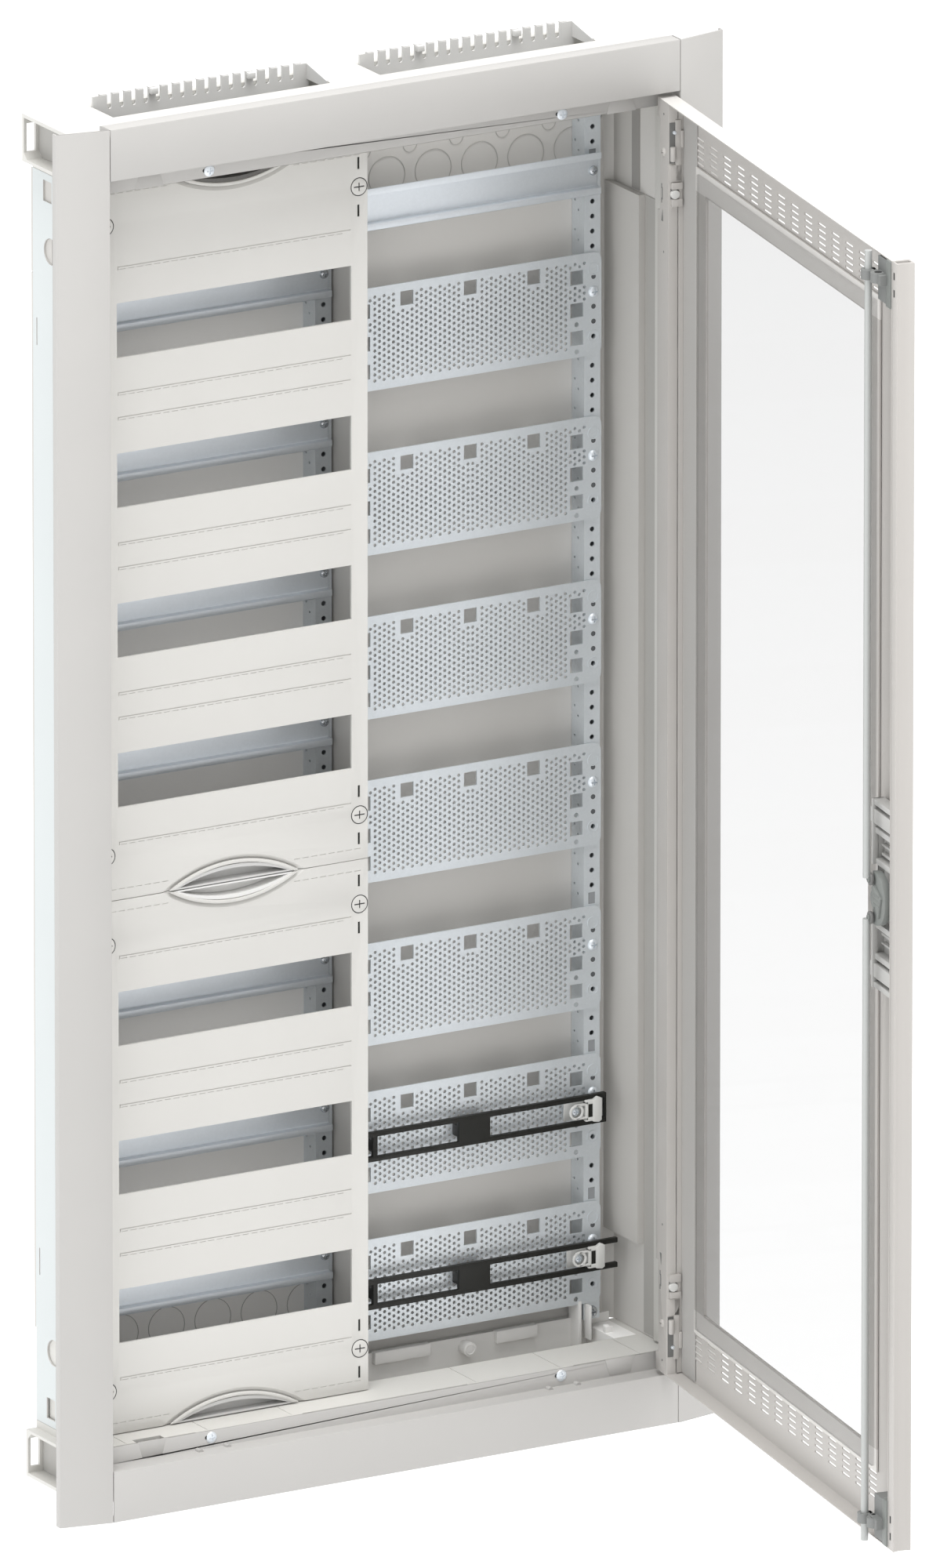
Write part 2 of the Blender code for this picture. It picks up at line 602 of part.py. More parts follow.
def make_lock(hinge):
    """The lock housing, the cam with its spindle, the outside lever and the two rods with guides."""
    inside = FRONT_Y + SHEET + GAP
    rod_x = at_s(ROD_S)
    rod_y = DOOR_RIM_Y + ROD_H
    housing_y = (inside, inside + 10.0)
    part("lock_housing", box(span_s(HOUSING_S), housing_y, (-HOUSING_Z, HOUSING_Z)), MOULDED,
         cut=[prism("Y", circle((rod_x, 0.0), SPINDLE_R + 0.5), inside - 1.0, inside + 12.0)],
         origin=(HINGE_X, HINGE_Y, 0), parent=hinge)
    turn = pivot("lock_axis", (rod_x, DOOR_RIM_Y, 0.0), hinge)
    cam_y = (rod_y - ROD_R - 4.0, rod_y - ROD_R - 1.0)
    ears = box((rod_x - 4.0, rod_x + 4.0), cam_y, (-CAM_R, CAM_R))
    hub = prism("Y", circle((rod_x, 0.0), 8.0), *cam_y)
    spindle = prism("Y", circle((rod_x, 0.0), SPINDLE_R), FRONT_Y, cam_y[0] + 1.0)
    part("lock_cam", hub, DARK, add=[ears, spindle], origin=(rod_x, DOOR_RIM_Y, 0), parent=turn)
    lever_y = (FRONT_Y - 8.0, FRONT_Y - GAP)
    boss = prism("Y", circle((rod_x, 0.0), 12.0), *lever_y)
    blade = box((rod_x - 7.0, rod_x + 7.0), (lever_y[0] + 1.0, lever_y[1] - 1.5), (-LEVER_REACH, 0.0))
    part("lock_lever", boss, DARK, add=[blade], origin=(rod_x, DOOR_RIM_Y, 0), parent=turn)
    for word, sign in (("upper", 1.0), ("lower", -1.0)):
        slide = pivot(f"{word}_rod_slide", (rod_x, rod_y, sign * ROD_Z[1]), hinge)
        rod = prism("Z", circle((rod_x, rod_y), ROD_R, 16), *sorted(sign * z for z in ROD_Z))
        part(f"{word}_rod", rod, ZINC, origin=(rod_x, rod_y, sign * ROD_Z[1]), parent=slide)
        ring_z = sorted(sign * z for z in GUIDE_RING_Z)
        ring = prism("Z", circle((rod_x, rod_y), ROD_R + 2.6), *ring_z)
        arm = box((at_s(GUIDE_S[0] + 8.0), rod_x - 2.0), (DOOR_RIM_Y - 2.0, rod_y + 3.0), ring_z)
        body = box(span_s(GUIDE_S), (inside, DOOR_RIM_Y + 1.0), [sign * z for z in GUIDE_Z])
        bore = prism("Z", circle((rod_x, rod_y), ROD_R + GAP), ring_z[0] - 1.0, ring_z[1] + 1.0)
        part(f"rod_guide_{word}", body, DARK, add=[arm, ring], cut=[bore],
             origin=(HINGE_X, HINGE_Y, 0), parent=hinge)


# --- the whole cabinet -----------------------------------------------------------------------

def build():
    """Makes every piece, then opens the door."""
    make_shell()
    make_cap("top_end_cap", 1.0, True)
    make_cap("bottom_end_cap", -1.0, False)
    slot_middle = sum(CABLE_SLOT_X) / 2.0
    make_comb("comb_left", -slot_middle)
    make_comb("comb_right", slot_middle)
    make_side_strip("frame_left", -1.0)
    make_side_strip("frame_right", 1.0)
    make_cross_strip("frame_top", 1.0)
    make_cross_strip("frame_bottom", -1.0)
    for number, x in enumerate(UPRIGHT_X, 1):
        make_upright(f"upright_{number}", x)
    make_divider()
    for number, z in enumerate(ROW_Z, 1):
        make_rail(f"din_rail_{number}", -FIELD / 2.0, z + RAIL_OFFSET_Z)
    make_rail(f"din_rail_{len(ROW_Z) + 1}", FIELD / 2.0, RIGHT_RAIL_Z)
    for number, z in enumerate(PLATE_Z, 1):
        make_plate(f"perforated_plate_{number}", z)
    make_holder("cable_holder_upper", PLATE_Z[5], HOLDER_X[0], True)
    make_holder("cable_holder_lower", PLATE_Z[6], HOLDER_X[1], False)
    covers = (("upper", UPPER_COVER_Z, ROW_Z[:4], UPPER_LOCK_Z), ("lower", LOWER_COVER_Z, ROW_Z[4:], LOWER_LOCK_Z))
    for word, z_range, rows, lock_z in covers:
        pull = make_cover(f"{word}_cover", z_range, rows, lock_z)
        make_grip(f"{word}_cover_grip_top", z_range[1], -1.0, pull)
        make_grip(f"{word}_cover_grip_bottom", z_range[0], 1.0, pull)
        places = [(x, z) for z in lock_z for x in LOCK_X]
        for number, (x, z) in enumerate(places, 1):
            make_cover_lock(f"{word}_cover_lock_{number}", x, z, pull)
    hinge = pivot("door_hinge", (HINGE_X, HINGE_Y, 0.0))
    make_door_panel(hinge)
    make_window(hinge)
    make_grip_strip(hinge)
    make_hinges(hinge)
    make_lock(hinge)
    hinge.rotation_euler.z = radians(DOOR_OPEN)


build()
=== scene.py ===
"""The looks of the switchboard cabinet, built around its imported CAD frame.

Lengths are in millimetres in the frame of the CAD unless a name says otherwise, and meshes are
written in metres. Pieces of the door are drawn with the door shut and then swung open with it.
"""
import json
from math import cos, pi, radians, sin

import bmesh
import bpy
from mathutils import Matrix, Vector
from mathutils.geometry import delaunay_2d_cdt


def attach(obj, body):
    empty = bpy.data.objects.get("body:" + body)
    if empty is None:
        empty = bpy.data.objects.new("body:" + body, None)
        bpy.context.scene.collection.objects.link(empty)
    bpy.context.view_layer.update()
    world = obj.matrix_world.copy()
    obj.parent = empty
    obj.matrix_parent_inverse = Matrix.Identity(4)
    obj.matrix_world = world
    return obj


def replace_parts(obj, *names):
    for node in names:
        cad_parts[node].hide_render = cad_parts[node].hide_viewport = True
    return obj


MM = 0.001

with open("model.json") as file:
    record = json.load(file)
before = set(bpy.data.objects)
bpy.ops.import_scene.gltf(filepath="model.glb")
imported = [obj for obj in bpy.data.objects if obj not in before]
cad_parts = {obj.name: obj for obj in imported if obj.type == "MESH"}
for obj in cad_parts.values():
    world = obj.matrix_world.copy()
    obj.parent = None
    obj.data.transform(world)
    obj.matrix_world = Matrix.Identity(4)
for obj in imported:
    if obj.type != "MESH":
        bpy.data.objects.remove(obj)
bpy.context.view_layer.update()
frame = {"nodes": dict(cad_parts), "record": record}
NODES = frame["nodes"]

# Places in the CAD, front to back.
LIP_Y = -104.3
COVER_Y = -75.0
PLATE_Y = -23.3                 # front of the mounting plates
UPRIGHT_Y = -21.5
FIELD = 250.0
ROW_Z = (399.5, 274.5, 149.5, 24.5, -175.5, -300.5, -425.5)
RAIL_Z = [z + 1.3 for z in ROW_Z]
PLATE_Z = (340.5, 203.0, 65.5, -72.0, -209.5, -334.5, -459.5)
RAILS = [(-125.0, z) for z in RAIL_Z] + [(125.0, 450.8)]
LOCK_X = (-241.8, -8.2)
LOCK_Z = {"upper": (487.0, -38.0), "lower": (-113.0, -488.0)}
COVER_SPAN = {"upper": (-75.2, 522.9), "lower": (-523.9, -75.8)}
COVER_ROWS = {"upper": ROW_Z[:4], "lower": ROW_Z[4:]}
WINDOW_H = 45.5

# The door, drawn shut: s from the hinge side, h inwards from its rim.
HINGE = (257.0, -116.9)
DOOR_OPEN = radians(80.93)
DOOR_ZERO_X = 257.16
DOOR_RIM_Y = -105.84
DOOR_FRONT_Y = -121.0
SWING = (Matrix.Translation((HINGE[0] * MM, HINGE[1] * MM, 0.0)) @ Matrix.Rotation(DOOR_OPEN, 4, "Z")
         @ Matrix.Translation((-HINGE[0] * MM, -HINGE[1] * MM, 0.0)))


# --- shapes: lists of corners and faces, in millimetres ----------------------------------------

PLACES = {"X": lambda a, b, t: (t, a, b), "Y": lambda a, b, t: (a, t, b), "Z": lambda a, b, t: (a, b, t)}


def walled(count):
    """Faces of a body between two outlines of count corners each."""
    faces = [tuple(range(count)), tuple(range(2 * count - 1, count - 1, -1))]
    return faces + [(i, i + count, (i + 1) % count + count, (i + 1) % count) for i in range(count)]


def prism(axis, outline, low, high):
    """A straight body over an outline; axis is the direction it runs along."""
    verts = [PLACES[axis](a, b, t) for t in (low, high) for a, b in outline]
    return verts, walled(len(outline))


def block(x, y, z):
    """A box between three pairs of limits."""
    return prism("Z", [(x[0], y[0]), (x[1], y[0]), (x[1], y[1]), (x[0], y[1])], *z)


def ring_points(centre, radius, count=24, start=0.0, turn=2.0 * pi):
    """Points on a circle, or on an arc where turn is less than a full circle."""
    steps = count if turn >= 2.0 * pi else count - 1
    angles = [start + turn * i / steps for i in range(count)]
    return [(centre[0] + radius * cos(angle), centre[1] + radius * sin(angle)) for angle in angles]


def cylinder(axis, centre, radius, low, high, count=24):
    return prism(axis, ring_points(centre, radius, count), low, high)


def tube(axis, centre, outer, inner, low, high, count=28):
    """A ring with a square section, as a band of quads."""
    verts = []
    for radius, height in ((outer, low), (outer, high), (inner, high), (inner, low)):
        verts += [PLACES[axis](a, b, height) for a, b in ring_points(centre, radius, count)]
    faces = []
    for band in range(4):
        for i in range(count):
            here, there = band * count, (band + 1) % 4 * count
            after = (i + 1) % count
            faces.append((here + i, here + after, there + after, there + i))
    return verts, faces


def dome(centre, radius, height, count=20, rings=5):
    """A round head that bulges towards -Y from centre."""
    x, y, z = centre
    verts, faces = [], []
    for ring in range(rings):
        angle = 0.5 * pi * ring / rings
        verts += [(a, y - height * sin(angle), b) for a, b in ring_points((x, z), radius * cos(angle), count)]
    verts.append((x, y - height, z))
    for ring in range(rings - 1):
        for i in range(count):
            low, high = ring * count, (ring + 1) * count
            after = (i + 1) % count
            faces.append((low + i, low + after, high + after, high + i))
    last = (rings - 1) * count
    faces += [(last + i, last + (i + 1) % count, len(verts) - 1) for i in range(count)]
    faces.append(tuple(range(count))[::-1])
    return verts, faces


def merged(shapes):
    """Several shapes as one."""
    verts, faces = [], []
    for more_verts, more_faces in shapes:
        start = len(verts)
        verts += more_verts
        faces += [tuple(i + start for i in face) for face in more_faces]
    return verts, faces


def moved(shape, x=0.0, y=0.0, z=0.0):
    return [(a + x, b + y, c + z) for a, b, c in shape[0]], shape[1]


def upside_down(shape):
    """The mirror image below the middle of the cabinet."""
    return [(a, b, -c) for a, b, c in shape[0]], [face[::-1] for face in shape[1]]


def span(side, near, far):
    """Limits on one side of the middle, smaller first."""
    return sorted((side * near, side * far))


def both_ends(shapes):
    """Shapes at the top, and their mirror images at the bottom."""
    return shapes + [upside_down(shape) for shape in shapes]


def pierced(outline, holes, low, high):
    """A flat sheet that faces -Y, with holes through it."""
    loops = [outline, *holes]
    points, rims = [], []
    for loop in loops:
        rims.append(list(range(len(points), len(points) + len(loop))))
        points += loop
    corners, _, triangles, *_ = delaunay_2d_cdt([Vector(point) for point in points], [], rims, 2, 1e-5)
    count = len(corners)
    verts = [(point.x, low, point.y) for point in corners] + [(point.x, high, point.y) for point in corners]
    faces = [tuple(face) for face in triangles] + [tuple(i + count for i in face[::-1]) for face in triangles]
    edges = {}
    for face in triangles:
        for a, b in zip(face, face[1:] + face[:1]):
            edges[(a, b)] = True
    faces += [(b, a, a + count, b + count) for a, b in edges if (b, a) not in edges]
    return verts, faces


# --- objects -----------------------------------------------------------------------------------

def mesh_from(name, shape, matrix=None):
    """A closed mesh in metres, with its faces turned outwards."""
    data = bpy.data.meshes.new(name)
    data.from_pydata([[c * MM for c in vert] for vert in shape[0]], [], shape[1])
    body = bmesh.new()
    body.from_mesh(data)
    bmesh.ops.remove_doubles(body, verts=body.verts, dist=1e-7)
    bmesh.ops.recalc_face_normals(body, faces=body.faces)
    body.to_mesh(data)
    body.free()
    if matrix:
        data.transform(matrix)
    return data


def rounded(data):
    """Smooth shading that breaks at the real edges."""
    data.polygons.foreach_set("use_smooth", [True] * len(data.polygons))
    data.set_sharp_from_angle(angle=radians(32.0))


def linked(name, data):
    made = bpy.data.objects.new(name, data)
    bpy.context.scene.collection.objects.link(made)
    return made


def worked(data, cutters=None, bevel=0.0, matrix=None):
    """The mesh after its sharp edges are broken and cutters are taken from it."""
    spare = [linked("work", data)]
    if bevel:
        soften = spare[0].modifiers.new("soften", "BEVEL")
        soften.width = bevel * MM
        soften.segments = 2
        soften.limit_method = "ANGLE"
        soften.angle_limit = radians(40.0)
        soften.use_clamp_overlap = True
    if cutters:
        spare.append(linked("tool", mesh_from("tool", merged(cutters), matrix)))
        carve = spare[0].modifiers.new("carve", "BOOLEAN")
        carve.operation = "DIFFERENCE"
        carve.solver = "EXACT"
        carve.use_self = True
        carve.object = spare[1]
    bpy.context.view_layer.update()
    graph = bpy.context.evaluated_depsgraph_get()
    made = bpy.data.meshes.new_from_object(spare[0].evaluated_get(graph))
    for item in spare:
        bpy.data.objects.remove(item, do_unlink=True)
    return made


def piece(name, data, material, body, place=None):
    """A finished object that moves with a CAD body."""
    made = linked(name, data)
    rounded(data)
    data.materials.clear()
    data.materials.append(material)
    if place:
        made.location = [c * MM for c in place]
    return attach(made, body)


def added(name, shapes, material, body, bevel=0.0, on_door=False):
    """A new piece from shapes."""
    data = mesh_from(name, merged(shapes), SWING if on_door else None)
    if bevel:
        data = worked(data, bevel=bevel)
    return piece(name, data, material, body)


def reworked(node, body, cutters=None, bevel=0.0, material=None, on_door=False):
    """A CAD node's shape with finer cuts or softer edges, standing in for the node."""
    source = NODES[node]
    data = source.data.copy()
    data.transform(source.matrix_world)
    cleaned = bmesh.new()
    cleaned.from_mesh(data)
    bmesh.ops.remove_doubles(cleaned, verts=cleaned.verts, dist=2e-6)
    cleaned.to_mesh(data)
    cleaned.free()
    for layer in list(data.uv_layers):
        data.uv_layers.remove(layer)
    if "custom_normal" in data.attributes:
        data.attributes.remove(data.attributes["custom_normal"])
    data = worked(data, cutters, bevel, SWING if on_door else None)
    slot = NODE_SLOT[node]
    made = piece(node + "_detailed", data, material or SLOT_FINISH[slot], body)
    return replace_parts(made, node)


# --- materials -------------------------------------------------------------------------------

def shader_tree(name, roughness, metallic):
    """A new node material and its Principled BSDF."""
    made = bpy.data.materials.new(name)
    made.use_nodes = True
    tree = made.node_tree
    shader = tree.nodes["Principled BSDF"]
    shader.inputs["Roughness"].default_value = roughness
    shader.inputs["Metallic"].default_value = metallic
    return made, tree, shader


def noise(tree, scale, detail=2.0, rough=0.5, stretch=(1.0, 1.0, 1.0)):
    """Noise in the object's own space."""
    coords = tree.nodes.new("ShaderNodeTexCoord")
    mapping = tree.nodes.new("ShaderNodeMapping")
    mapping.inputs["Scale"].default_value = stretch
    tree.links.new(coords.outputs["Object"], mapping.inputs["Vector"])
    texture = tree.nodes.new("ShaderNodeTexNoise")
    texture.inputs["Scale"].default_value = scale
    texture.inputs["Detail"].default_value = detail
    texture.inputs["Roughness"].default_value = rough
    tree.links.new(mapping.outputs["Vector"], texture.inputs["Vector"])
    return texture


def ranged(tree, source, low, high):
    """A texture's value mapped to a range."""
    made = tree.nodes.new("ShaderNodeMapRange")
    made.inputs["From Min"].default_value = 0.3
    made.inputs["From Max"].default_value = 0.7
    made.inputs["To Min"].default_value = low
    made.inputs["To Max"].default_value = high
    tree.links.new(source, made.inputs["Value"])
    return made.outputs["Result"]


def tinted(tree, shader, source, colour, spread):
    """The base colour, a little darker or lighter with the texture."""
    mix = tree.nodes.new("ShaderNodeMix")
    mix.data_type = "RGBA"
    mix.inputs["A"].default_value = (*[c * (1.0 - spread) for c in colour], 1.0)
    mix.inputs["B"].default_value = (*[min(1.0, c * (1.0 + spread)) for c in colour], 1.0)
    tree.links.new(source, mix.inputs["Factor"])
    tree.links.new(mix.outputs["Result"], shader.inputs["Base Color"])


def bumped(tree, shader, height, strength, distance):
    """Fine relief from a height."""
    bump = tree.nodes.new("ShaderNodeBump")
    bump.inputs["Strength"].default_value = strength
    bump.inputs["Distance"].default_value = distance
    tree.links.new(height, bump.inputs["Height"])
    tree.links.new(bump.outputs["Normal"], shader.inputs["Normal"])


def painted(name, colour, roughness=0.42, grain=900.0, relief=0.25, spread=0.02):
    """Powder coat or moulded plastic: an even colour, faint clouds and a fine orange peel."""
    made, tree, shader = shader_tree(name, roughness, 0.0)
    shader.inputs["Specular IOR Level"].default_value = 0.3
    clouds = noise(tree, 14.0, 3.0)
    tinted(tree, shader, clouds.outputs["Fac"], colour, spread)
    peel = noise(tree, grain, 2.0)
    tree.links.new(ranged(tree, peel.outputs["Fac"], roughness - 0.04, roughness + 0.05),
                   shader.inputs["Roughness"])
    bumped(tree, shader, peel.outputs["Fac"], relief, 0.00008)
    return made


def galvanised(name, colour, roughness=0.42, metallic=0.55, spread=0.035):
    """Zinc: small spangles that differ in tone, and fine rolling marks."""
    made, tree, shader = shader_tree(name, roughness, metallic)
    coords = tree.nodes.new("ShaderNodeTexCoord")
    spangle = tree.nodes.new("ShaderNodeTexVoronoi")
    spangle.inputs["Scale"].default_value = 520.0
    tree.links.new(coords.outputs["Object"], spangle.inputs["Vector"])
    tone = tree.nodes.new("ShaderNodeSeparateColor")
    tree.links.new(spangle.outputs["Color"], tone.inputs["Color"])
    tinted(tree, shader, tone.outputs["Red"], colour, spread)
    tree.links.new(ranged(tree, tone.outputs["Green"], roughness - 0.015, roughness + 0.015),
                   shader.inputs["Roughness"])
    marks = noise(tree, 700.0, 2.0, 0.5, (0.08, 1.0, 1.0))
    bumped(tree, shader, marks.outputs["Fac"], 0.05, 0.00003)
    return made


def glass(name):
    """A clear pane with hardly any reflection."""
    made, tree, shader = shader_tree(name, 0.02, 0.0)
    shader.inputs["Base Color"].default_value = (0.66, 0.66, 0.66, 1.0)
    shader.inputs["Transmission Weight"].default_value = 1.0
    shader.inputs["IOR"].default_value = 1.03
    clouds = noise(tree, 3.0, 1.0)
    tree.links.new(ranged(tree, clouds.outputs["Fac"], 0.0, 0.02), shader.inputs["Roughness"])
    return made


# Where one real paint has several colours here, each is set for the light that falls on its surface.
PAINT = painted("powder_coat", (0.45, 0.440, 0.425))
DOOR_PAINT = painted("door_powder_coat", (0.46, 0.44, 0.418))
# darker door paint: painted shade on the skin beside the hinge channel
DOOR_SHADE = painted("painted_shade_by_hinge", (0.41, 0.40, 0.385))
# lighter door paint: painted light on the top and bottom members of the window frame
DOOR_PAINTED_LIGHT = painted("painted_light_window_ends", (0.62, 0.60, 0.575))
# the lightest door paint: painted light from above on the top of the door's flange
LIGHT_ON_TOP = painted("painted_light_on_top", (0.66, 0.645, 0.62))

INSIDE = painted("coated_box_steel", (0.60, 0.585, 0.56), 0.5)
# a much lighter copy of the box's inside: painted light on the back behind the left field
BACK_PAINTED_LIGHT = painted("painted_light_back_left", (0.88, 0.865, 0.84), 0.5)
OUTSIDE = painted("box_side_steel", (0.58, 0.61, 0.61), 0.5)
# a darker copy of the box's inside: painted shade on the side linings and the corners above them
SIDE_PANEL_SHADE = painted("painted_shade_side_panels", (0.52, 0.505, 0.48), 0.5)
# a dark copy of the box's inside: painted shade on the side bands and the pockets' walls
SIDE_SHADE = painted("painted_side_shade", (0.40, 0.39, 0.37), 0.5)
# a dark copy of the box's inside: painted shade in the gap above each side lining
GAP_SHADE = painted("painted_gap_shade", (0.30, 0.29, 0.275), 0.6)
# darker box paint: painted shade in the scored outlines of the knock-outs
KNOCK_OUT_SHADE = painted("knock_out_outline_shade", (0.44, 0.43, 0.41), 0.5)

COVER = painted("cover_plastic", (0.60, 0.59, 0.565), 0.48)
# hollows of the grips: painted shade, darkest in the upper cover's top grip, and painted light in the lower
# cover's top grip
GRIP_SHADE = painted("painted_shade_top_grip", (0.13, 0.127, 0.12), 0.6)
GRIP_MID_SHADE = painted("painted_shade_grip", (0.56, 0.555, 0.545), 0.6)
GRIP_PAINTED_LIGHT = painted("painted_light_grip", (0.70, 0.695, 0.68), 0.6)
MOULDED = painted("moulded_grey", (0.60, 0.59, 0.56), 0.5)
# the moulded grey set a little lighter: painted light on the combs in the top well
LIGHT_ON_COMBS = painted("painted_light_comb", (0.62, 0.615, 0.60), 0.5)
# a much lighter grey than the caps' moulding: painted light in the shaded well of the bottom cap
LIGHT_IN_WELL = painted("painted_light_well", (0.84, 0.83, 0.81), 0.5)
CLIP = painted("pale_clip_plastic", (0.62, 0.62, 0.60), 0.35)
LOCK_PLASTIC = painted("pale_lock_plastic", (0.46, 0.455, 0.44), 0.4)

# black plastic, also used as painted shade behind the cover slits and in the cable clips' gaps
BLACK_AND_SHADE = painted("black_plastic", (0.012, 0.012, 0.010), 0.4)
# near black: painted shade in holes, recesses, slots and grooves
SHADE = painted("painted_recess_shade", (0.03, 0.03, 0.03), 0.6)
# dark grey plastic, also used as painted shade in the slots of the lock's cam
DARK_AND_SLOT_SHADE = painted("dark_grey_plastic", (0.19, 0.20, 0.19), 0.45)
CAM_GREY = painted("cam_grey_plastic", (0.20, 0.21, 0.20), 0.45)
GUIDE_GREY = painted("guide_grey_plastic", (0.20, 0.205, 0.20), 0.45)
# mid grey metal, also used as painted shade in the gaps of the hinges
MID_GREY_AND_GAP_SHADE = painted("grey_metal_and_gap_shade", (0.16, 0.16, 0.155), 0.4)
# dark grey: painted shade in the holes seen on the plates' tabs
TAB_HOLE_SHADE = painted("tab_hole_shade", (0.10, 0.105, 0.11), 0.5)
# a lighter dark grey: painted shade in the uprights' key holes
KEY_HOLE_SHADE = painted("key_hole_fill_shade", (0.28, 0.29, 0.30), 0.5)

ZINC = galvanised("zinc", (0.70, 0.74, 0.77), spread=0.015)
BRIGHT_ZINC = galvanised("bright_zinc", (0.76, 0.80, 0.84), 0.46, 0.65, 0.012)
SCREW_ZINC = galvanised("screw_zinc", (0.50, 0.52, 0.54), 0.25, 0.9)
ROD_ZINC = galvanised("rod_zinc", (0.43, 0.44, 0.43), 0.5, 0.2, 0.01)
# near white: painted highlight along the fold of each rail
RAIL_HIGHLIGHT = painted("rail_painted_highlight", (0.88, 0.91, 0.94), 0.35)
GLASS = glass("clear_glass")

SLOT_FINISH = {"powder_coat": PAINT, "moulded_grey": MOULDED, "cover_plastic": COVER, "box_steel": INSIDE,
               "zinc": ZINC, "black_plastic": BLACK_AND_SHADE, "dark_plastic": DARK_AND_SLOT_SHADE, "glass": GLASS}
# the rods take real zinc; the grips take the painted shade and light of their hollows
FINISH_AND_SHADE_BY_NODE = {"upper_rod": ROD_ZINC, "lower_rod": ROD_ZINC, "upper_cover_grip_top": GRIP_SHADE,
               "upper_cover_grip_bottom": GRIP_MID_SHADE, "lower_cover_grip_top": GRIP_PAINTED_LIGHT,
               "lower_cover_grip_bottom": GRIP_MID_SHADE}
NODE_SLOT = {entry["node"]: entry["material_slot"] for entry in frame["record"]["subparts"]}
for node, obj in NODES.items():
    obj.data.materials.clear()
    obj.data.materials.append(FINISH_AND_SHADE_BY_NODE.get(node, SLOT_FINISH[NODE_SLOT[node]]))


# --- screws ------------------------------------------------------------------------------------

def screw_shape(radius, height):
    """A round head towards -Y with a cross recess, drawn once and used for every screw of its size."""
    arm = (-radius * 0.55, radius * 0.55)
    width = (-radius * 0.13, radius * 0.13)
    depth = (-height - 1.0, -height * 0.3)
    data = worked(mesh_from("head", dome((0.0, 0.0, 0.0), radius, height)), [block(arm, depth, width)])
    data = worked(data, [block(width, depth, arm)])
    verts = [tuple(c / MM for c in vert.co) for vert in data.vertices]
    return verts, [tuple(face.vertices) for face in data.polygons]


def with_heads(name, shape, places, material, body, on_door=False):
    """One piece with the same head at several places."""
    return added(name, [moved(shape, *place) for place in places], material, body, on_door=on_door)


# --- mounting plates, rails and uprights ---------------------------------------------------------

PLATE_X = FIELD / 2.0
PLATE_CORNER = (115.0, 36.05)   # middle of a rounded corner, from the plate's own middle
HOLE_R = 1.45
HOLE_COLUMN = 4.33              # distance between columns of the perforation
HOLE_PITCH = 5.0
MAIN_COLUMNS = 21               # on each side of the middle
EDGE_COLUMNS = 4                # beyond those, perforated only near the top and just above the middle
TOP_SQUARES = [(-59.0, 30.2), (0.0, 30.2), (59.0, 30.2)]
SIDE_SQUARES = [(side * 99.0, z) for side in (-1, 1) for z in (23.7, -3.5, -26.9)]
SIDE_ROUNDS = [(side * 99.0, z) for side in (-1, 1) for z in (-15.5, -38.2)]
SQUARE = 12.0
TAB_X = 114.6
TAB_HOLE_Z = -27.3
TAB_SCREW_Z = 10.2
GRID_HOLE_R = 2.1
GRID_PITCH = 12.5
GRID_START = -524.3
GRID_COUNT = 82
UPRIGHT_X = (-239.6, -10.4, 10.4, 239.6)
KEY_HOLES = range(9, GRID_COUNT + 1, 10)      # every tenth hole of an upright is a key hole
RAIL_WEB_Y = -22.8
RAIL_HALF = 118.0
RIDGES = ((11.6, 0.5), (13.4, 0.35))          # below the rail's middle, and half of the ridge's height


def square_points(centre, side):
    half = side / 2.0
    return [(centre[0] + a * half, centre[1] + b * half) for a, b in ((-1, -1), (1, -1), (1, 1), (-1, 1))]


def plate_shape():
    """A mounting plate about its own middle."""
    outline = []
    for a, b, start in ((1, 1, 0.0), (-1, 1, 0.5), (-1, -1, 1.0), (1, -1, 1.5)):
        outline += ring_points((a * PLATE_CORNER[0], b * PLATE_CORNER[1]), 7.0, 6, start * pi, 0.5 * pi)
    squares = TOP_SQUARES + SIDE_SQUARES
    holes = [square_points(place, SQUARE) for place in squares]
    holes += [ring_points(place, GRID_HOLE_R, 14) for place in SIDE_ROUNDS]
    holes += [ring_points((side * TAB_X, TAB_HOLE_Z), GRID_HOLE_R, 14) for side in (-1, 1)]
    clear = SQUARE / 2.0 + HOLE_R + 0.7
    for column in range(MAIN_COLUMNS + EDGE_COLUMNS):
        x = HOLE_COLUMN * (column + 0.5)
        count, top = (14, 32.5) if column % 2 else (15, 35.0)
        for row in range(count):
            z = top - HOLE_PITCH * row
            if column >= MAIN_COLUMNS and not (z >= 32.0 or 5.0 <= z <= 15.0):
                continue
            for side in (-1, 1):
                if not any(abs(side * x - a) < clear and abs(z - b) < clear for a, b in squares):
                    holes.append(ring_points((side * x, z), HOLE_R, 10))
    return pierced(outline, holes, PLATE_Y, PLATE_Y + 1.5)


def make_plates():
    shared = mesh_from("perforated_plate", plate_shape())
    for number, z in enumerate(PLATE_Z, 1):
        node = f"perforated_plate_{number}"
        made = piece(node + "_detailed", shared, ZINC, "cabinet", (PLATE_X, 0.0, z))
        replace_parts(made, node)
    heads = screw_shape(4.7, 2.6)
    places = [(PLATE_X + side * TAB_X, PLATE_Y, z + TAB_SCREW_Z) for side in (1, -1) for z in PLATE_Z]
    with_heads("plate_screws", heads, places, BRIGHT_ZINC, "cabinet")
    tabs = [(PLATE_X + side * TAB_X, z) for z in PLATE_Z for side in (-1, 1)]
    # dark discs on the tabs: painted shade in the holes seen there
    marks = [cylinder("Y", (x, z + TAB_SCREW_Z + rise), 2.1, PLATE_Y - 0.12, PLATE_Y + 0.3, 16)
             for x, z in tabs for rise in (12.5, -12.5, -25.0)]
    added("plate_tab_shade_discs", marks, TAB_HOLE_SHADE, "cabinet")
    rings = [tube("Y", (x, z + rise), 5.2, 4.4, PLATE_Y - 0.35, PLATE_Y + 0.3)
             for rise in (TAB_HOLE_Z, 29.0) for x, z in tabs]
    added("plate_embossings", rings, ZINC, "cabinet")


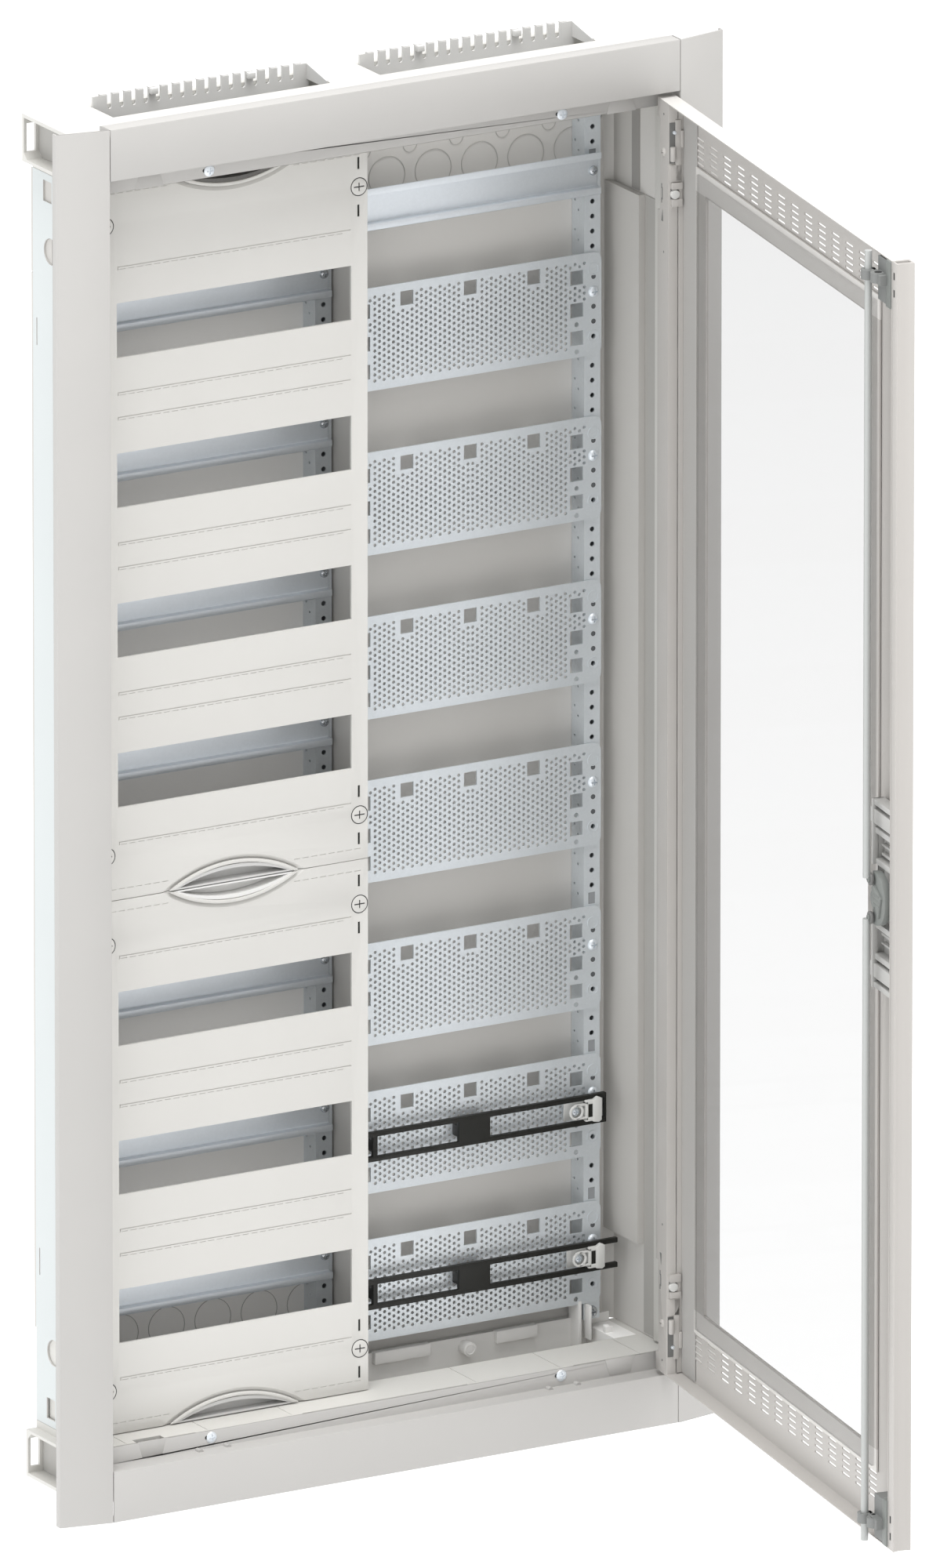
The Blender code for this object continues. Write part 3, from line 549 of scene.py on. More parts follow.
def make_rails():
    for number in range(1, len(RAILS) + 1):
        reworked(f"din_rail_{number}", "cabinet", bevel=0.8, material=BRIGHT_ZINC)
    head = screw_shape(4.1, 2.6)
    places = [(x + side * TAB_X, RAIL_WEB_Y, z + 1.0) for x, z in RAILS for side in (-1, 1)]
    with_heads("rail_screws", head, places, SCREW_ZINC, "cabinet")
    front, back = RAIL_WEB_Y - 0.35, RAIL_WEB_Y + 0.2
    # thin ridges near each rail's lower fold, in near white: painted highlights
    ridges = []
    for x, z in RAILS:
        for drop, half in RIDGES:
            outline = [(front, z - drop), (back, z - drop + half), (back, z - drop - half)]
            ridges.append(prism("X", outline, x - RAIL_HALF, x + RAIL_HALF))
    added("rail_highlight_ridges", ridges, RAIL_HIGHLIGHT, "cabinet")


def upright_cutters(x):
    """The punched holes in an upright's face, and the small ones in its side."""
    depth = (UPRIGHT_Y - 1.0, UPRIGHT_Y + 2.5)
    cutters = []
    for k in range(1, GRID_COUNT + 1):
        z = GRID_START + GRID_PITCH * k
        if k in KEY_HOLES:
            cutters.append(block((x - 3.2, x + 3.2), depth, (z - 3.4, z + 6.4)))
        else:
            cutters.append(cylinder("Y", (x, z), GRID_HOLE_R, *depth, 12))
        side_hole = (-12.0, z + 4.0) if k % 2 else (-6.5, z - 1.0)
        cutters.append(cylinder("X", side_hole, 1.1, x - 8.5, x - 5.0, 8))
    return cutters


def make_uprights():
    for number, x in enumerate(UPRIGHT_X, 1):
        reworked(f"upright_{number}", "cabinet", upright_cutters(x))
    # grey blocks inside the key holes: painted shade seen through them
    marks = []
    for x in UPRIGHT_X:
        for k in KEY_HOLES:
            z = GRID_START + GRID_PITCH * k
            marks.append(block((x - 3.4, x + 3.4), (UPRIGHT_Y + 0.5, UPRIGHT_Y + 1.2), (z - 3.6, z + 6.6)))
    added("upright_key_shade_blocks", marks, KEY_HOLE_SHADE, "cabinet")
    places = [(x, UPRIGHT_Y, side * 511.0) for x in (UPRIGHT_X[0], UPRIGHT_X[-1]) for side in (-1, 1)]
    with_heads("upright_screws", screw_shape(5.2, 3.2), places, SCREW_ZINC, "cabinet")


# --- covers --------------------------------------------------------------------------------------

GRIP_X = -125.0
GRIP_HALF = 58.0
GRIP_H = 14.0
SCORE_GAP = 29.5                # from a window's edge to the score lines above and below it
BORDER = 9.0                    # from a cover's end to the broken line along it
SLIT_X = (-241.3, -8.7)
SLIT_REACH = 19.8               # from a lock to the slits above and below it
DASH = 5.6
DASH_STEP = 8.0


def lens(half_width, height, sign, count=25):
    """A half eye whose flat side is at z 0, as (x, z) about its middle."""
    radius = (half_width ** 2 + height ** 2) / (2.0 * height)
    points = []
    for i in range(count):
        x = half_width * (1.0 - 2.0 * i / (count - 1))
        points.append((x, sign * ((radius ** 2 - x ** 2) ** 0.5 - (radius - height))))
    return points


def band(outer, inner, edge, low, high):
    """An arched strip between two half eyes at a cover's edge."""
    outline = [(GRIP_X + a, edge + b) for a, b in outer + inner[::-1]]
    return prism("Y", outline, low, high)


def slanted(outer, inner, edge, front, back):
    """A body whose front outline shrinks to its back outline."""
    verts = [(GRIP_X + a, front, edge + b) for a, b in outer]
    verts += [(GRIP_X + a, back, edge + b) for a, b in inner]
    return verts, walled(len(outer))


def dashes(z, start, end):
    """A broken groove across a cover."""
    cutters = []
    x = start
    while x + DASH <= end:
        cutters.append(block((x, x + DASH), (COVER_Y - 1.0, COVER_Y + 0.45), (z - 0.3, z + 0.3)))
        x += DASH_STEP
    return cutters


def cover_cutters(word):
    """Score lines round the windows, borders at the ends, slits by the locks."""
    low, high = COVER_SPAN[word]
    groove = (COVER_Y - 1.0, COVER_Y + 0.6)
    cutters = []
    for z in COVER_ROWS[word]:
        for side in (-1, 1):
            line = z + side * (WINDOW_H / 2.0 + SCORE_GAP)
            cutters.append(block((-229.9, -16.0), groove, (line + 0.2, line + 1.1)))
            cutters.append(block((-231.0, -230.0), groove, (line - 1.8, line + 1.0)))
            cutters += dashes(line - 1.4, -229.0, -16.0)
    for x in SLIT_X:
        for lock_z in LOCK_Z[word]:
            for side in (-1, 1):
                z = lock_z + side * SLIT_REACH
                cutters.append(block((x - 1.0, x + 1.0), (COVER_Y - 1.0, COVER_Y + 2.2), (z - 5.0, z + 5.0)))
    for border in (low + BORDER, high - BORDER):
        cutters += dashes(border, -247.0, GRIP_X - 56.0)
        cutters += dashes(border, GRIP_X + 56.0, -3.0)
    return cutters


def grip_cutter(edge, side):
    """The mouth of a grip's hollow, wider at the cover's face than behind it."""
    outlines = []
    for wider, higher in ((9.0, 7.6), (3.0, 3.4)):
        half = GRIP_HALF + wider
        outlines.append(lens(half, GRIP_H + higher, side) + [(-half, -side * 2.0), (half, -side * 2.0)])
    return slanted(*outlines, edge, COVER_Y - 0.4, COVER_Y + 2.3)


def make_grip_looks(node, body, edge, side):
    """A raised rim round a grip, and the floor of its hollow in that grip's painted shade, which for the
    lower cover's top grip is painted light.
    """
    outer = lens(GRIP_HALF + 2.0, GRIP_H + 3.2, side)
    inner = lens(GRIP_HALF - 3.5, GRIP_H + 0.2, side)
    rim = band(outer, inner, edge + side * 0.2, COVER_Y - 1.4, COVER_Y + 1.0)
    added(f"{node}_rim", [rim], COVER, body, bevel=0.9)
    hollow = [(GRIP_X + a, edge + side * 1.4 + b) for a, b in lens(GRIP_HALF - 8.6, GRIP_H - 5.0, side)]
    floor = prism("Y", hollow, COVER_Y + 9.6, COVER_Y + 10.8)
    added(f"{node}_floor", [floor], FINISH_AND_SHADE_BY_NODE[node], body)


def make_covers():
    for word, (low, high) in COVER_SPAN.items():
        body = f"{word}_cover"
        ends = (("bottom", low, 1.0), ("top", high, -1.0))
        hollows = [grip_cutter(edge, side) for _, edge, side in ends]
        reworked(body, body, cover_cutters(word) + hollows, bevel=0.8)
        for end, edge, side in ends:
            make_grip_looks(f"{body}_grip_{end}", body, edge, side)
        # near-black blocks behind the slits by the locks: painted shade
        middles = [(x, z + side * SLIT_REACH) for x in SLIT_X for z in LOCK_Z[word] for side in (-1, 1)]
        depth = (COVER_Y + 0.5, COVER_Y + 1.4)
        slits = [block((x - 1.0, x + 1.0), depth, (z - 4.95, z + 4.95)) for x, z in middles]
        added(f"{body}_slits", slits, BLACK_AND_SHADE, body)
    make_locks()


def make_locks():
    """Quarter-turn locks with a cross recess; one mesh for all."""
    arm, foot, width, cut = (-4.8, 4.8), (-3.5, 3.5), (-0.55, 0.55), (-1.5, 0.9)
    data = worked(mesh_from("cover_lock", cylinder("Y", (0.0, 0.0), 7.0, -0.3, 2.2, 40)), bevel=0.2)
    data = worked(data, [block(arm, cut, width)])
    data = worked(data, [block(width, cut, foot)])
    # the cross recess is filled with near black, and the groove round each lock is near black: painted shade
    fill = (0.3, 1.5)
    dark = mesh_from("cover_lock_cross", merged([block((-4.75, 4.75), fill, (-0.53, 0.53)),
                                                 block((-0.53, 0.53), fill, (-3.45, 3.45))]))
    groove = mesh_from("cover_lock_groove", tube("Y", (0.0, 0.0), 7.75, 7.1, -0.1, 2.0, 40))
    for word, rows in LOCK_Z.items():
        places = [(x, COVER_Y, z) for z in rows for x in LOCK_X]
        for number, place in enumerate(places, 1):
            node = f"{word}_cover_lock_{number}"
            made = piece(node + "_detailed", data, COVER, node, place)
            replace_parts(made, node)
            piece(node + "_cross", dark, SHADE, node, place)
            piece(node + "_groove", groove, SHADE, f"{word}_cover", place)


# --- frame, caps and box -------------------------------------------------------------------------

FRAME_SCREW_X = (-163.0, 163.0)
FRAME_SCREW_Z = (530.0, -530.4)
LEDGE_Z = 524.8                 # step of an end cap, seen through the opening of the frame
BACK_WALL_Y = -10.5             # front of the wall behind the bottom well
LINING_TOP_Z = 436.0
CORNER_Z = (437.0, 523.0)       # the box's upper corner, above the side lining
WELL_POST_X = 126.6


def make_frame():
    for name in ("frame_left", "frame_right", "frame_top", "frame_bottom"):
        reworked(name, "cabinet", bevel=0.9)
    spots = [(x, z) for x in FRAME_SCREW_X for z in FRAME_SCREW_Z]
    places = [(x, LIP_Y, z) for x, z in spots]
    with_heads("frame_screws", screw_shape(4.85, 1.4), places, BRIGHT_ZINC, "cabinet")
    # dark discs: painted shade in the keyholes beside the frame's screws
    marks = [cylinder("Y", (x - 4.6, z + 0.6), 1.6, LIP_Y - 0.15, LIP_Y + 0.4, 16) for x, z in spots]
    added("frame_keyholes", marks, SHADE, "cabinet")
    bumps = [prism("Y", ring_points((x + side * 13.0, -539.0), 2.2, 10, 0.0, pi), -110.0, LIP_Y)
             for x in FRAME_SCREW_X for side in (-1, 1)]
    added("return_bumps", [upside_down(bump) for bump in bumps] + bumps, PAINT, "cabinet")
    patch = [(-231.5, 523.8), (-204.0, 523.8), (-208.0, 537.4), (-227.6, 537.4)]
    strikes = [prism("Y", patch, LIP_Y + 0.25, LIP_Y + 0.9),
               prism("Y", [(-x, z) for x, z in patch], LIP_Y - 0.4, LIP_Y + 0.2)]
    added("strike_patches", both_ends(strikes), PAINT, "cabinet", bevel=0.2)


def side_cutters(x):
    """Knock-outs, recesses and slits in an outer side of the box, between two limits of x."""
    cutters = [cylinder("X", (-36.4, side * 461.0), 11.0, *x, 40) for side in (-1, 1)]
    cutters += [block(x, (-38.0, -24.4), span(side, 501.0, 518.5)) for side in (1, -1)]
    return cutters + [block(x, (-14.3, -13.0), span(side, 378.0, 401.0)) for side in (1, -1)]


def make_box():
    made = reworked("box_shell", "cabinet", side_cutters((-272.0, -267.0)) + side_cutters((269.25, 272.0)))
    made.data.materials.append(OUTSIDE)
    for face in made.data.polygons:
        middle = face.center / MM
        if abs(face.normal.x) > 0.6 and middle.x * face.normal.x > 0 and abs(middle.x) > 262.0:
            face.material_index = 1
    plugs = [cylinder("X", (-36.4, z), 12.0, -268.2, -267.4, 32) for z in (-461.0, 461.0)]
    plugs += [block((-267.0, -266.2), (-40.0, -22.0), (z - 11.0, z + 11.0)) for z in (-509.8, 509.8)]
    added("knock_out_plugs", plugs, MOULDED, "cabinet")


def make_caps():
    for name, sign in (("top_end_cap", 1.0), ("bottom_end_cap", -1.0)):
        ledge = sign * LEDGE_Z
        seam_z = sorted((ledge + sign * 0.7, ledge - sign * 1.0))
        rim_z = sorted((ledge + sign * 2.4, ledge - sign * 1.0))
        cutters = [block((x - 0.25, x + 0.25), (-100.0, -54.0), seam_z)
                   for x in (-239.0, -164.4, -86.0, 86.0, 164.4, 239.0)]
        cutters += [block(x, (-103.5, -100.6), rim_z)
                    for x in ((-262.0, -176.0), (-77.0, 77.0), (176.0, 262.0))]
        reworked(name, "cabinet", cutters)


def make_back():
    """Round knock-outs near both ends of the back, their outlines darker as painted shade, and a lighter
    sheet of painted light on the back behind the left field.
    """
    rings = []
    for k in range(12):
        x = 43.0 * (k - 5.5) - 4.5 * (-1.0 if k < 6 else 1.0)
        rings.append(tube("Y", (x, 467.5), 17.0, 16.5, -2.1, -1.1))
        rings.append(tube("Y", (x + 21.5, 491.0), 6.4, 6.0, -2.1, -1.1))
    # the rings are darker than the back: painted shade in the knock-outs' scored outlines
    added("knock_out_rings", both_ends(rings), KNOCK_OUT_SHADE, "cabinet")
    # a thin sheet in a lighter box paint: painted light on the back behind the left field, which the covers
    # shade
    lining = block((-266.0, -2.5), (-1.75, -1.25), (-521.0, 521.0))
    added("back_light_sheet", [lining], BACK_PAINTED_LIGHT, "cabinet")


def make_wells():
    """Dark sheets of painted shade on the pockets' outer walls, and what stands in the well of the bottom
    cap, in a grey lightened as painted light.
    """
    back = BACK_WALL_Y
    # dark sheets: painted shade in the pockets of the end caps
    pockets = [block(span(side, 265.3, 265.9), (-99.4, back - 0.2), (533.7, 567.3)) for side in (-1, 1)]
    added("pocket_shade_sheets", both_ends(pockets), SIDE_SHADE, "cabinet")
    ribs = []
    for side in (-1, 1):
        post = (side * WELL_POST_X, -525.5)
        ribs += [block(span(side, 154.0, 192.0), (back - 6.0, back + 0.2), (-526.0, -516.0)),
                 block(span(side, 40.0, 92.0), (back - 6.0, back + 0.2), (-526.0, -516.0)),
                 cylinder("Y", post, 6.0, back - 10.0, back + 0.2, 28),
                 tube("Y", post, 4.4, 3.7, back - 10.4, back - 9.0),
                 block(span(side, 241.0, 262.0), (-55.2, -12.0), (-566.0, -524.6)),
                 block(span(side, 226.0, 229.0), (-24.0, -8.0), (-540.0, -500.0)),
                 block(span(side, 233.0, 235.0), (-30.0, -20.0), (-532.0, -503.0)),
                 cylinder("Z", (side * 245.0, -36.0), 2.6, -526.0, -519.0, 20),
                 block(span(side, 241.5, 249.0), (-40.0, -38.0), (-526.0, -519.5))]
    # the ribs and the sheet behind them are lighter than the cap: painted light in the well
    added("bottom_well_ribs", ribs, LIGHT_IN_WELL, "cabinet", bevel=0.6)
    wall = block((-262.0, 262.0), (back - 0.9, back - 0.1), (-567.3, -517.0))
    added("well_light_sheet", [wall], LIGHT_IN_WELL, "cabinet")


def on_both_sides(x, y, z):
    """Two blocks, left and right, from limits of the distance to the middle."""
    return [block(span(side, *x), y, z) for side in (-1, 1)]


def make_sides():
    """On each inner side of the box: lining, the gap and corner above it, the band and flange in front. The
    lining and corner are darker than the box's inside, and the gap and band are dark sheets: all painted
    shade.
    """
    skin = (267.8, 268.4)
    low = -CORNER_Z[1]
    # the lining is darker than the box's inside: painted shade
    linings = on_both_sides((262.0, 268.4), (-57.0, -2.4), (-447.5, LINING_TOP_Z))
    added("side_linings", linings, SIDE_PANEL_SHADE, "cabinet")
    # a dark sheet on the side wall: painted shade in the gap above the lining
    added("gap_shade_sheets", on_both_sides(skin, (-48.0, -36.0), CORNER_Z), GAP_SHADE, "cabinet")
    # a sheet on the side wall: painted shade in the corner above the lining
    added("corner_shade_sheets", on_both_sides(skin, (-35.8, -2.4), CORNER_Z), SIDE_PANEL_SHADE, "cabinet")
    # sheets on the side walls: painted shade on the band in front of each lining
    bands = on_both_sides(skin, (-79.0, -57.3), (low, LINING_TOP_Z))
    added("band_shade_sheets", bands, SIDE_SHADE, "cabinet")
    flanges = on_both_sides((263.6, 268.3), (-103.0, -79.5), (low, CORNER_Z[1]))
    added("box_flanges", flanges, MOULDED, "cabinet", bevel=0.8)


COMB_X = (-123.0, 123.0)
TOOTH_PITCH = 11.2
TEETH = 17
TOOTH_Z = 579.0


def make_combs():
    """The combs, with hooked tips on their teeth and small clips."""
    for name in ("comb_left", "comb_right"):
        # the combs take the lighter grey: painted light
        reworked(name, "cabinet", material=LIGHT_ON_COMBS)
    tips, clips = [], []
    for middle in COMB_X:
        teeth = [middle + TOOTH_PITCH * (k - TEETH // 2) for k in range(TEETH)]
        for x in teeth:
            hook = [(x - 3.4, TOOTH_Z), (x - 4.6, TOOTH_Z + 1.6),
                    (x - 3.2, TOOTH_Z + 1.2), (x - 2.0, TOOTH_Z)]
            top = [(x - 3.4, TOOTH_Z), (x + 3.4, TOOTH_Z),
                   (x + 3.4, TOOTH_Z + 0.7), (x - 3.0, TOOTH_Z + 0.7)]
            tips += [prism("Y", hook, -21.2, -19.4), prism("Y", top, -20.6, -19.4)]
        clips += [block((x - 3.0, x + 3.4), (-25.5, -21.0), (TOOTH_Z - 4.5, TOOTH_Z + 0.5))
                  for x in (teeth[4], teeth[12])]
    added("comb_tips", tips, LIGHT_ON_COMBS, "cabinet")
    added("comb_clips", clips, LIGHT_ON_COMBS, "cabinet", bevel=0.4)


# --- cable holders -------------------------------------------------------------------------------

HOLDERS = ((PLATE_Z[5], 228.0), (PLATE_Z[6], 231.0))      # height, and the holder's right end


def make_holders():
    for word in ("upper", "lower"):
        reworked(f"cable_holder_{word}", "cabinet", bevel=0.5)
    jaw_y, eye_y = (-37.5, -33.0), (-37.0, -35.0)
    clips, dark = [], []
    for z, right in HOLDERS:
        reach, eye_x = (right - 3.0, right + 10.0), (right - 12.0, right - 2.0)
        tip = [(right + 3.5, z - 9.5), (right + 9.0, z - 10.5), (right + 11.5, z - 9.0),
               (right + 11.5, z + 9.5), (right + 8.0, z + 11.0), (right + 3.5, z + 8.5)]
        clips += [block((right - 3.0, right - 0.5), jaw_y, (z - 8.0, z + 8.0)),
                  block(reach, jaw_y, (z + 5.5, z + 9.0)), block(reach, jaw_y, (z - 9.0, z - 5.5)),
                  prism("Y", tip, -38.5, -31.0), tube("Y", (right - 11.0, z), 6.6, 4.6, *eye_y),
                  block(eye_x, eye_y, (z + 4.6, z + 6.6)), block(eye_x, eye_y, (z - 6.6, z - 4.6)),
                  block((right - 18.0, right + 8.0), (-27.5, -26.3), (z - 9.0, z + 9.0))]
        # near-black blocks in the clips' gaps: painted shade
        dark.append(block((right - 0.7, right + 3.7), (-37.0, -35.6), (z - 5.7, z + 5.7)))
    added("holder_clips", clips, CLIP, "cabinet", bevel=0.6)
    added("holder_clip_gaps", dark, BLACK_AND_SHADE, "cabinet")
    places = [(right - 11.0, -33.0, z) for z, right in HOLDERS]
    with_heads("holder_screws", screw_shape(4.0, 2.6), places, BRIGHT_ZINC, "cabinet")


# --- door ----------------------------------------------------------------------------------------

def sx(s):
    """X of a place on the shut door."""
    return DOOR_ZERO_X - s


def h_y(h):
    """Y of a place on the shut door, measured inwards from its rim."""
    return DOOR_RIM_Y + h


def s_block(s, y, z):
    return block((sx(s[1]), sx(s[0])), y, z)


def sh_block(s, h, z):
    return s_block(s, (h_y(h[0]), h_y(h[1])), z)


VENT_START = 56.0
VENT_PITCH = 29.4
VENTS = 14
VENT_W = 16.4
VENT_Z = [512.7 - 5.13 * k for k in range(5)]
FLANGE_Z = 533.0                # the door's top flange starts here
PANE_S = (73.6, 430.9)
PANE_Z = (-470.4, 470.5)
WINDOW_S = (52.0, 451.0)        # outer edges of the window frame
WINDOW_TOP_Z = (470.1, 489.5)
ROD_S = 475.0
ROD_H = 7.6
FLOOR_H = -13.2                 # inner face of the door's skin


def make_panel():
    """The door's tray with its vents, and painted light on the upward faces of its top flange."""
    skin = (DOOR_FRONT_Y - 1.0, DOOR_FRONT_Y + 2.2)
    middles = [VENT_START + VENT_PITCH * k for k in range(VENTS)]
    vents = [s_block((s - VENT_W / 2, s + VENT_W / 2), skin, (z - 1.0, z + 1.0))
             for s in middles for z in VENT_Z]
    panel = reworked("door_panel", "door", both_ends(vents), bevel=0.7, material=DOOR_PAINT, on_door=True)
    # upward faces above the start of the flange get the lighter paint: painted light from above
    panel.data.materials.append(LIGHT_ON_TOP)
    for face in panel.data.polygons:
        if face.normal.z > 0.9 and face.center.z > FLANGE_Z * MM:
            face.material_index = 1


def make_window_frame():
    """Two upright members and, in a lighter copy of the door paint that is painted light, the top and bottom
    ones.
    """
    low, high = -WINDOW_TOP_Z[0], WINDOW_TOP_Z[0]
    members = [sh_block(s, (-13.4, -11.9), (low, high)) for s in ((WINDOW_S[0], 74.0), (430.5, WINDOW_S[1]))]
    made = added("window_frame_detailed", members, DOOR_PAINT, "door", on_door=True)
    # the top and bottom members are lighter than the door paint: painted light
    ends = [sh_block(WINDOW_S, (-13.4, -11.88), span(side, *WINDOW_TOP_Z)) for side in (1, -1)]
    added("window_frame_ends", ends, DOOR_PAINTED_LIGHT, "door", on_door=True)
    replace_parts(made, "window_frame")


def make_door():
    make_panel()
    make_window_frame()
    # a thin sheet of darker door paint: painted shade where the hinge channel shades the skin
    strip = sh_block((22.0, 51.6), (-13.5, -13.05), (-532.0, 532.0))
    added("hinge_shade_sheet", [strip], DOOR_SHADE, "door", on_door=True)
    channel = sh_block((20.6, 21.5), (-13.8, -8.0), (-FLANGE_Z, FLANGE_Z))
    added("channel_side", [channel], DOOR_PAINT, "door", on_door=True)
    reworked("grip_strip", "door", bevel=0.5, material=DOOR_PAINT, on_door=True)
    bead_y = (DOOR_FRONT_Y + 0.1, DOOR_FRONT_Y + 3.3)
    bead = [s_block((s - 0.5, s + 0.9), bead_y, PANE_Z) for s in PANE_S]
    bead += [s_block(PANE_S, bead_y, (z - 0.7, z + 0.7)) for z in PANE_Z]
    added("pane_bead", bead, DOOR_PAINT, "door", bevel=0.3, on_door=True)
    # dark blocks in the slots of the free edge: painted shade
    slots = [sh_block((510.2, 512.6), (-0.4, 0.12), (z - 3.0, z + 3.0)) for z in (523.5, 509.3)]
    added("free_edge_slots", both_ends(slots), SHADE, "door", on_door=True)
    make_hinge_looks()
    make_lock_looks()
    for word, sign in (("upper", 1.0), ("lower", -1.0)):
        make_guide(word, sign)


def make_hinge_looks():
    """What shows of the hinges: marks and screws on the channel's face, fittings on its side."""
    rim = DOOR_RIM_Y
    proud = (-0.3, 0.12)
    dots = [cylinder("Y", (sx(12.0), z), 1.0, rim - 0.3, rim + 0.15, 12) for z in (524.0, 409.0)]
    arrow = [(sx(9.5), 444.0), (sx(6.5), 434.0), (sx(10.5), 434.0)]
    marks = [sh_block((8.0, 9.6), proud, (452.0, 462.0)), sh_block((6.6, 8.2), proud, (461.0, 465.0)),
             sh_block((6.6, 8.2), proud, (449.0, 453.0)), prism("Y", arrow, rim - 0.3, rim + 0.12)]
    added("hinge_strip_marks", both_ends(dots + marks), MID_GREY_AND_GAP_SHADE, "door", on_door=True)
    verts, faces = screw_shape(3.6, 2.0)
    inward = ([(a, -b, c) for a, b, c in verts], [face[::-1] for face in faces])
    added("hinge_strip_screws", both_ends([moved(inward, sx(12.3), rim, 492.3)]), DOOR_PAINT, "door",
          on_door=True)
    side = 21.5
    inner = side - 0.4
    fittings = [sh_block((inner, side + 1.4), (-10.8, -6.0), (470.0, 521.0)),
                sh_block((inner, side + 1.4), (-10.8, -0.9), (469.5, 484.0)),
                sh_block((inner, side + 2.2), (-12.9, -10.4), (498.0, 512.0)),
                sh_block((inner, side + 3.0), (-11.5, -2.3), (463.5, 469.0)),
                sh_block((inner, side + 3.0), (-11.5, -2.3), (449.0, 455.5)),
                sh_block((inner, side + 1.6), (-11.5, -8.5), (455.0, 464.0)),
                cylinder("Z", (sx(side + 2.0), h_y(-3.5)), 2.4, 487.0, 499.0, 20)]
    added("hinge_fittings", both_ends(fittings), DOOR_PAINT, "door", bevel=0.5, on_door=True)
    rollers = [cylinder("X", (h_y(-5.2), 459.4), 3.7, sx(side + 3.4), sx(side - 0.2), 28)]
    added("hinge_rollers", both_ends(rollers), CLIP, "door", bevel=0.6, on_door=True)
    # thin grey sheets: painted shade in the gaps of the hinge fittings
    gaps = [sh_block((side - 0.3, side + 0.2), (-6.0, -1.0), (485.0, 519.0)),
            sh_block((side - 0.3, side + 0.2), (-8.6, -2.0), (455.0, 464.0))]
    added("hinge_gaps", both_ends(gaps), MID_GREY_AND_GAP_SHADE, "door", on_door=True)
    studs = [cylinder("X", (h_y(-5.0), 510.7), 1.5, sx(side + 2.4), sx(side), 20)]
    added("hinge_studs", both_ends(studs), BRIGHT_ZINC, "door", bevel=0.4, on_door=True)


def make_lock_looks():
    """The ladder-like housing, and the cam with the eyelets and pins for the rods."""
    edge, far = (462.2, 464.6), (502.6, 505.0)
    half = 78.4
    housing = [sh_block((463.0, far[1]), (FLOOR_H, -11.8), (-78.0, 78.0)),
               sh_block(edge, (FLOOR_H, -6.5), (-half, half)),
               sh_block(edge, (-6.5, -1.6), (24.0, half)), sh_block(edge, (-6.5, -1.6), (-half, -24.0)),
               sh_block(far, (FLOOR_H, -6.5), (-half, half))]
    rungs = [sh_block(s, (FLOOR_H, top), z)
             for s, top, z in (((462.6, 504.6), -4.0, (50.0, 55.0)), ((456.0, 500.0), -3.0, (58.0, 70.0)),
                               ((462.6, 504.6), -3.0, (73.5, 78.2)), ((456.0, 504.6), -4.6, (24.0, 29.0)),
                               ((468.0, 498.0), -8.0, (32.0, 34.5)), ((468.0, 498.0), -8.0, (40.0, 42.0)))]
    made = added("lock_housing_detailed", housing + both_ends(rungs), LOCK_PLASTIC, "door",
                 bevel=0.6, on_door=True)
    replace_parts(made, "lock_housing")

    middle = sx(479.0)
    turns = [pi * (i / 16.0 - 0.5) for i in range(17)]
    disc = [(middle - 21.0 * cos(t), 22.0 * sin(t)) for t in turns] + [(sx(474.0), 22.0), (sx(474.0), -22.0)]
    blade = [(sx(495.0), 4.0), (sx(480.0), 12.0), (sx(476.0), 9.0), (sx(490.0), -14.0)]
    cam = [prism("Y", disc, h_y(-4.5), h_y(2.0)), prism("Y", blade, h_y(1.5), h_y(4.35)),
           cylinder("Y", (sx(ROD_S), 0.0), 5.0, DOOR_FRONT_Y, h_y(-4.0)),
           cylinder("Y", (middle, 0.0), 7.0, h_y(1.5), h_y(3.6))]
    made = added("lock_cam_detailed", cam, CAM_GREY, "lock", bevel=0.7, on_door=True)
    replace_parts(made, "lock_cam")
    # dark strips on the cam's face: painted shade in its slots
    slots = [sh_block((481.0, 493.0), (4.25, 4.5), (z - 0.6, z + 0.6)) for z in (-3.0, 1.0, 5.0)]
    added("lock_cam_slots", slots, DARK_AND_SLOT_SHADE, "lock", on_door=True)
    ends = [(sx(476.5), z) for z in (16.0, -16.0)]
    eyes = [cylinder("Y", end, 5.2, h_y(3.6), h_y(6.0), 28) for end in ends]
    added("rod_eyelets", eyes, MID_GREY_AND_GAP_SHADE, "lock", bevel=0.6, on_door=True)
    pins = [cylinder("Y", end, 2.6, h_y(6.0), h_y(7.4), 20) for end in ends]
    added("rod_pins", pins, DARK_AND_SLOT_SHADE, "lock", bevel=0.4, on_door=True)


def make_guide(word, sign):
    """A rod's guide at one end of the door: its collar, and the wall beside it with a hole."""
    low, high = 513.0, 521.0
    hole = (sx(488.0), h_y(4.4))
    guide = [sh_block((478.5, 497.0), (FLOOR_H, 0.6), (496.5, 532.5)),
             sh_block((481.0, 499.0), (0.3, 7.0), (low, high)),
             sh_block((473.0, 484.0), (1.6, 4.3), (low, high)),
             tube("Z", (sx(ROD_S), h_y(ROD_H)), 6.0, 3.25, low, high, 32),
             tube("Z", hole, 6.2, 3.0, low + 0.4, high + 0.4, 32)]
    wall = [sh_block((496.6, 506.0), (FLOOR_H, 1.4), (495.0, 534.0))]
    if sign < 0:
        guide, wall = [upside_down(shape) for shape in guide], [upside_down(shape) for shape in wall]
    made = added(f"rod_guide_{word}_detailed", guide, GUIDE_GREY, "door", on_door=True)
    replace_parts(made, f"rod_guide_{word}")
    added(f"rod_guide_{word}_wall", wall, DARK_AND_SLOT_SHADE, "door", bevel=0.8, on_door=True)
    # a dark disc in the hole of the guide's wall: painted shade
    dark = cylinder("Z", hole, 3.0, *span(sign, high + 0.2, high + 0.6), 24)
    added(f"rod_guide_{word}_hole", [dark], SHADE, "door", on_door=True)


# --- camera, floor and light -----------------------------------------------------------------

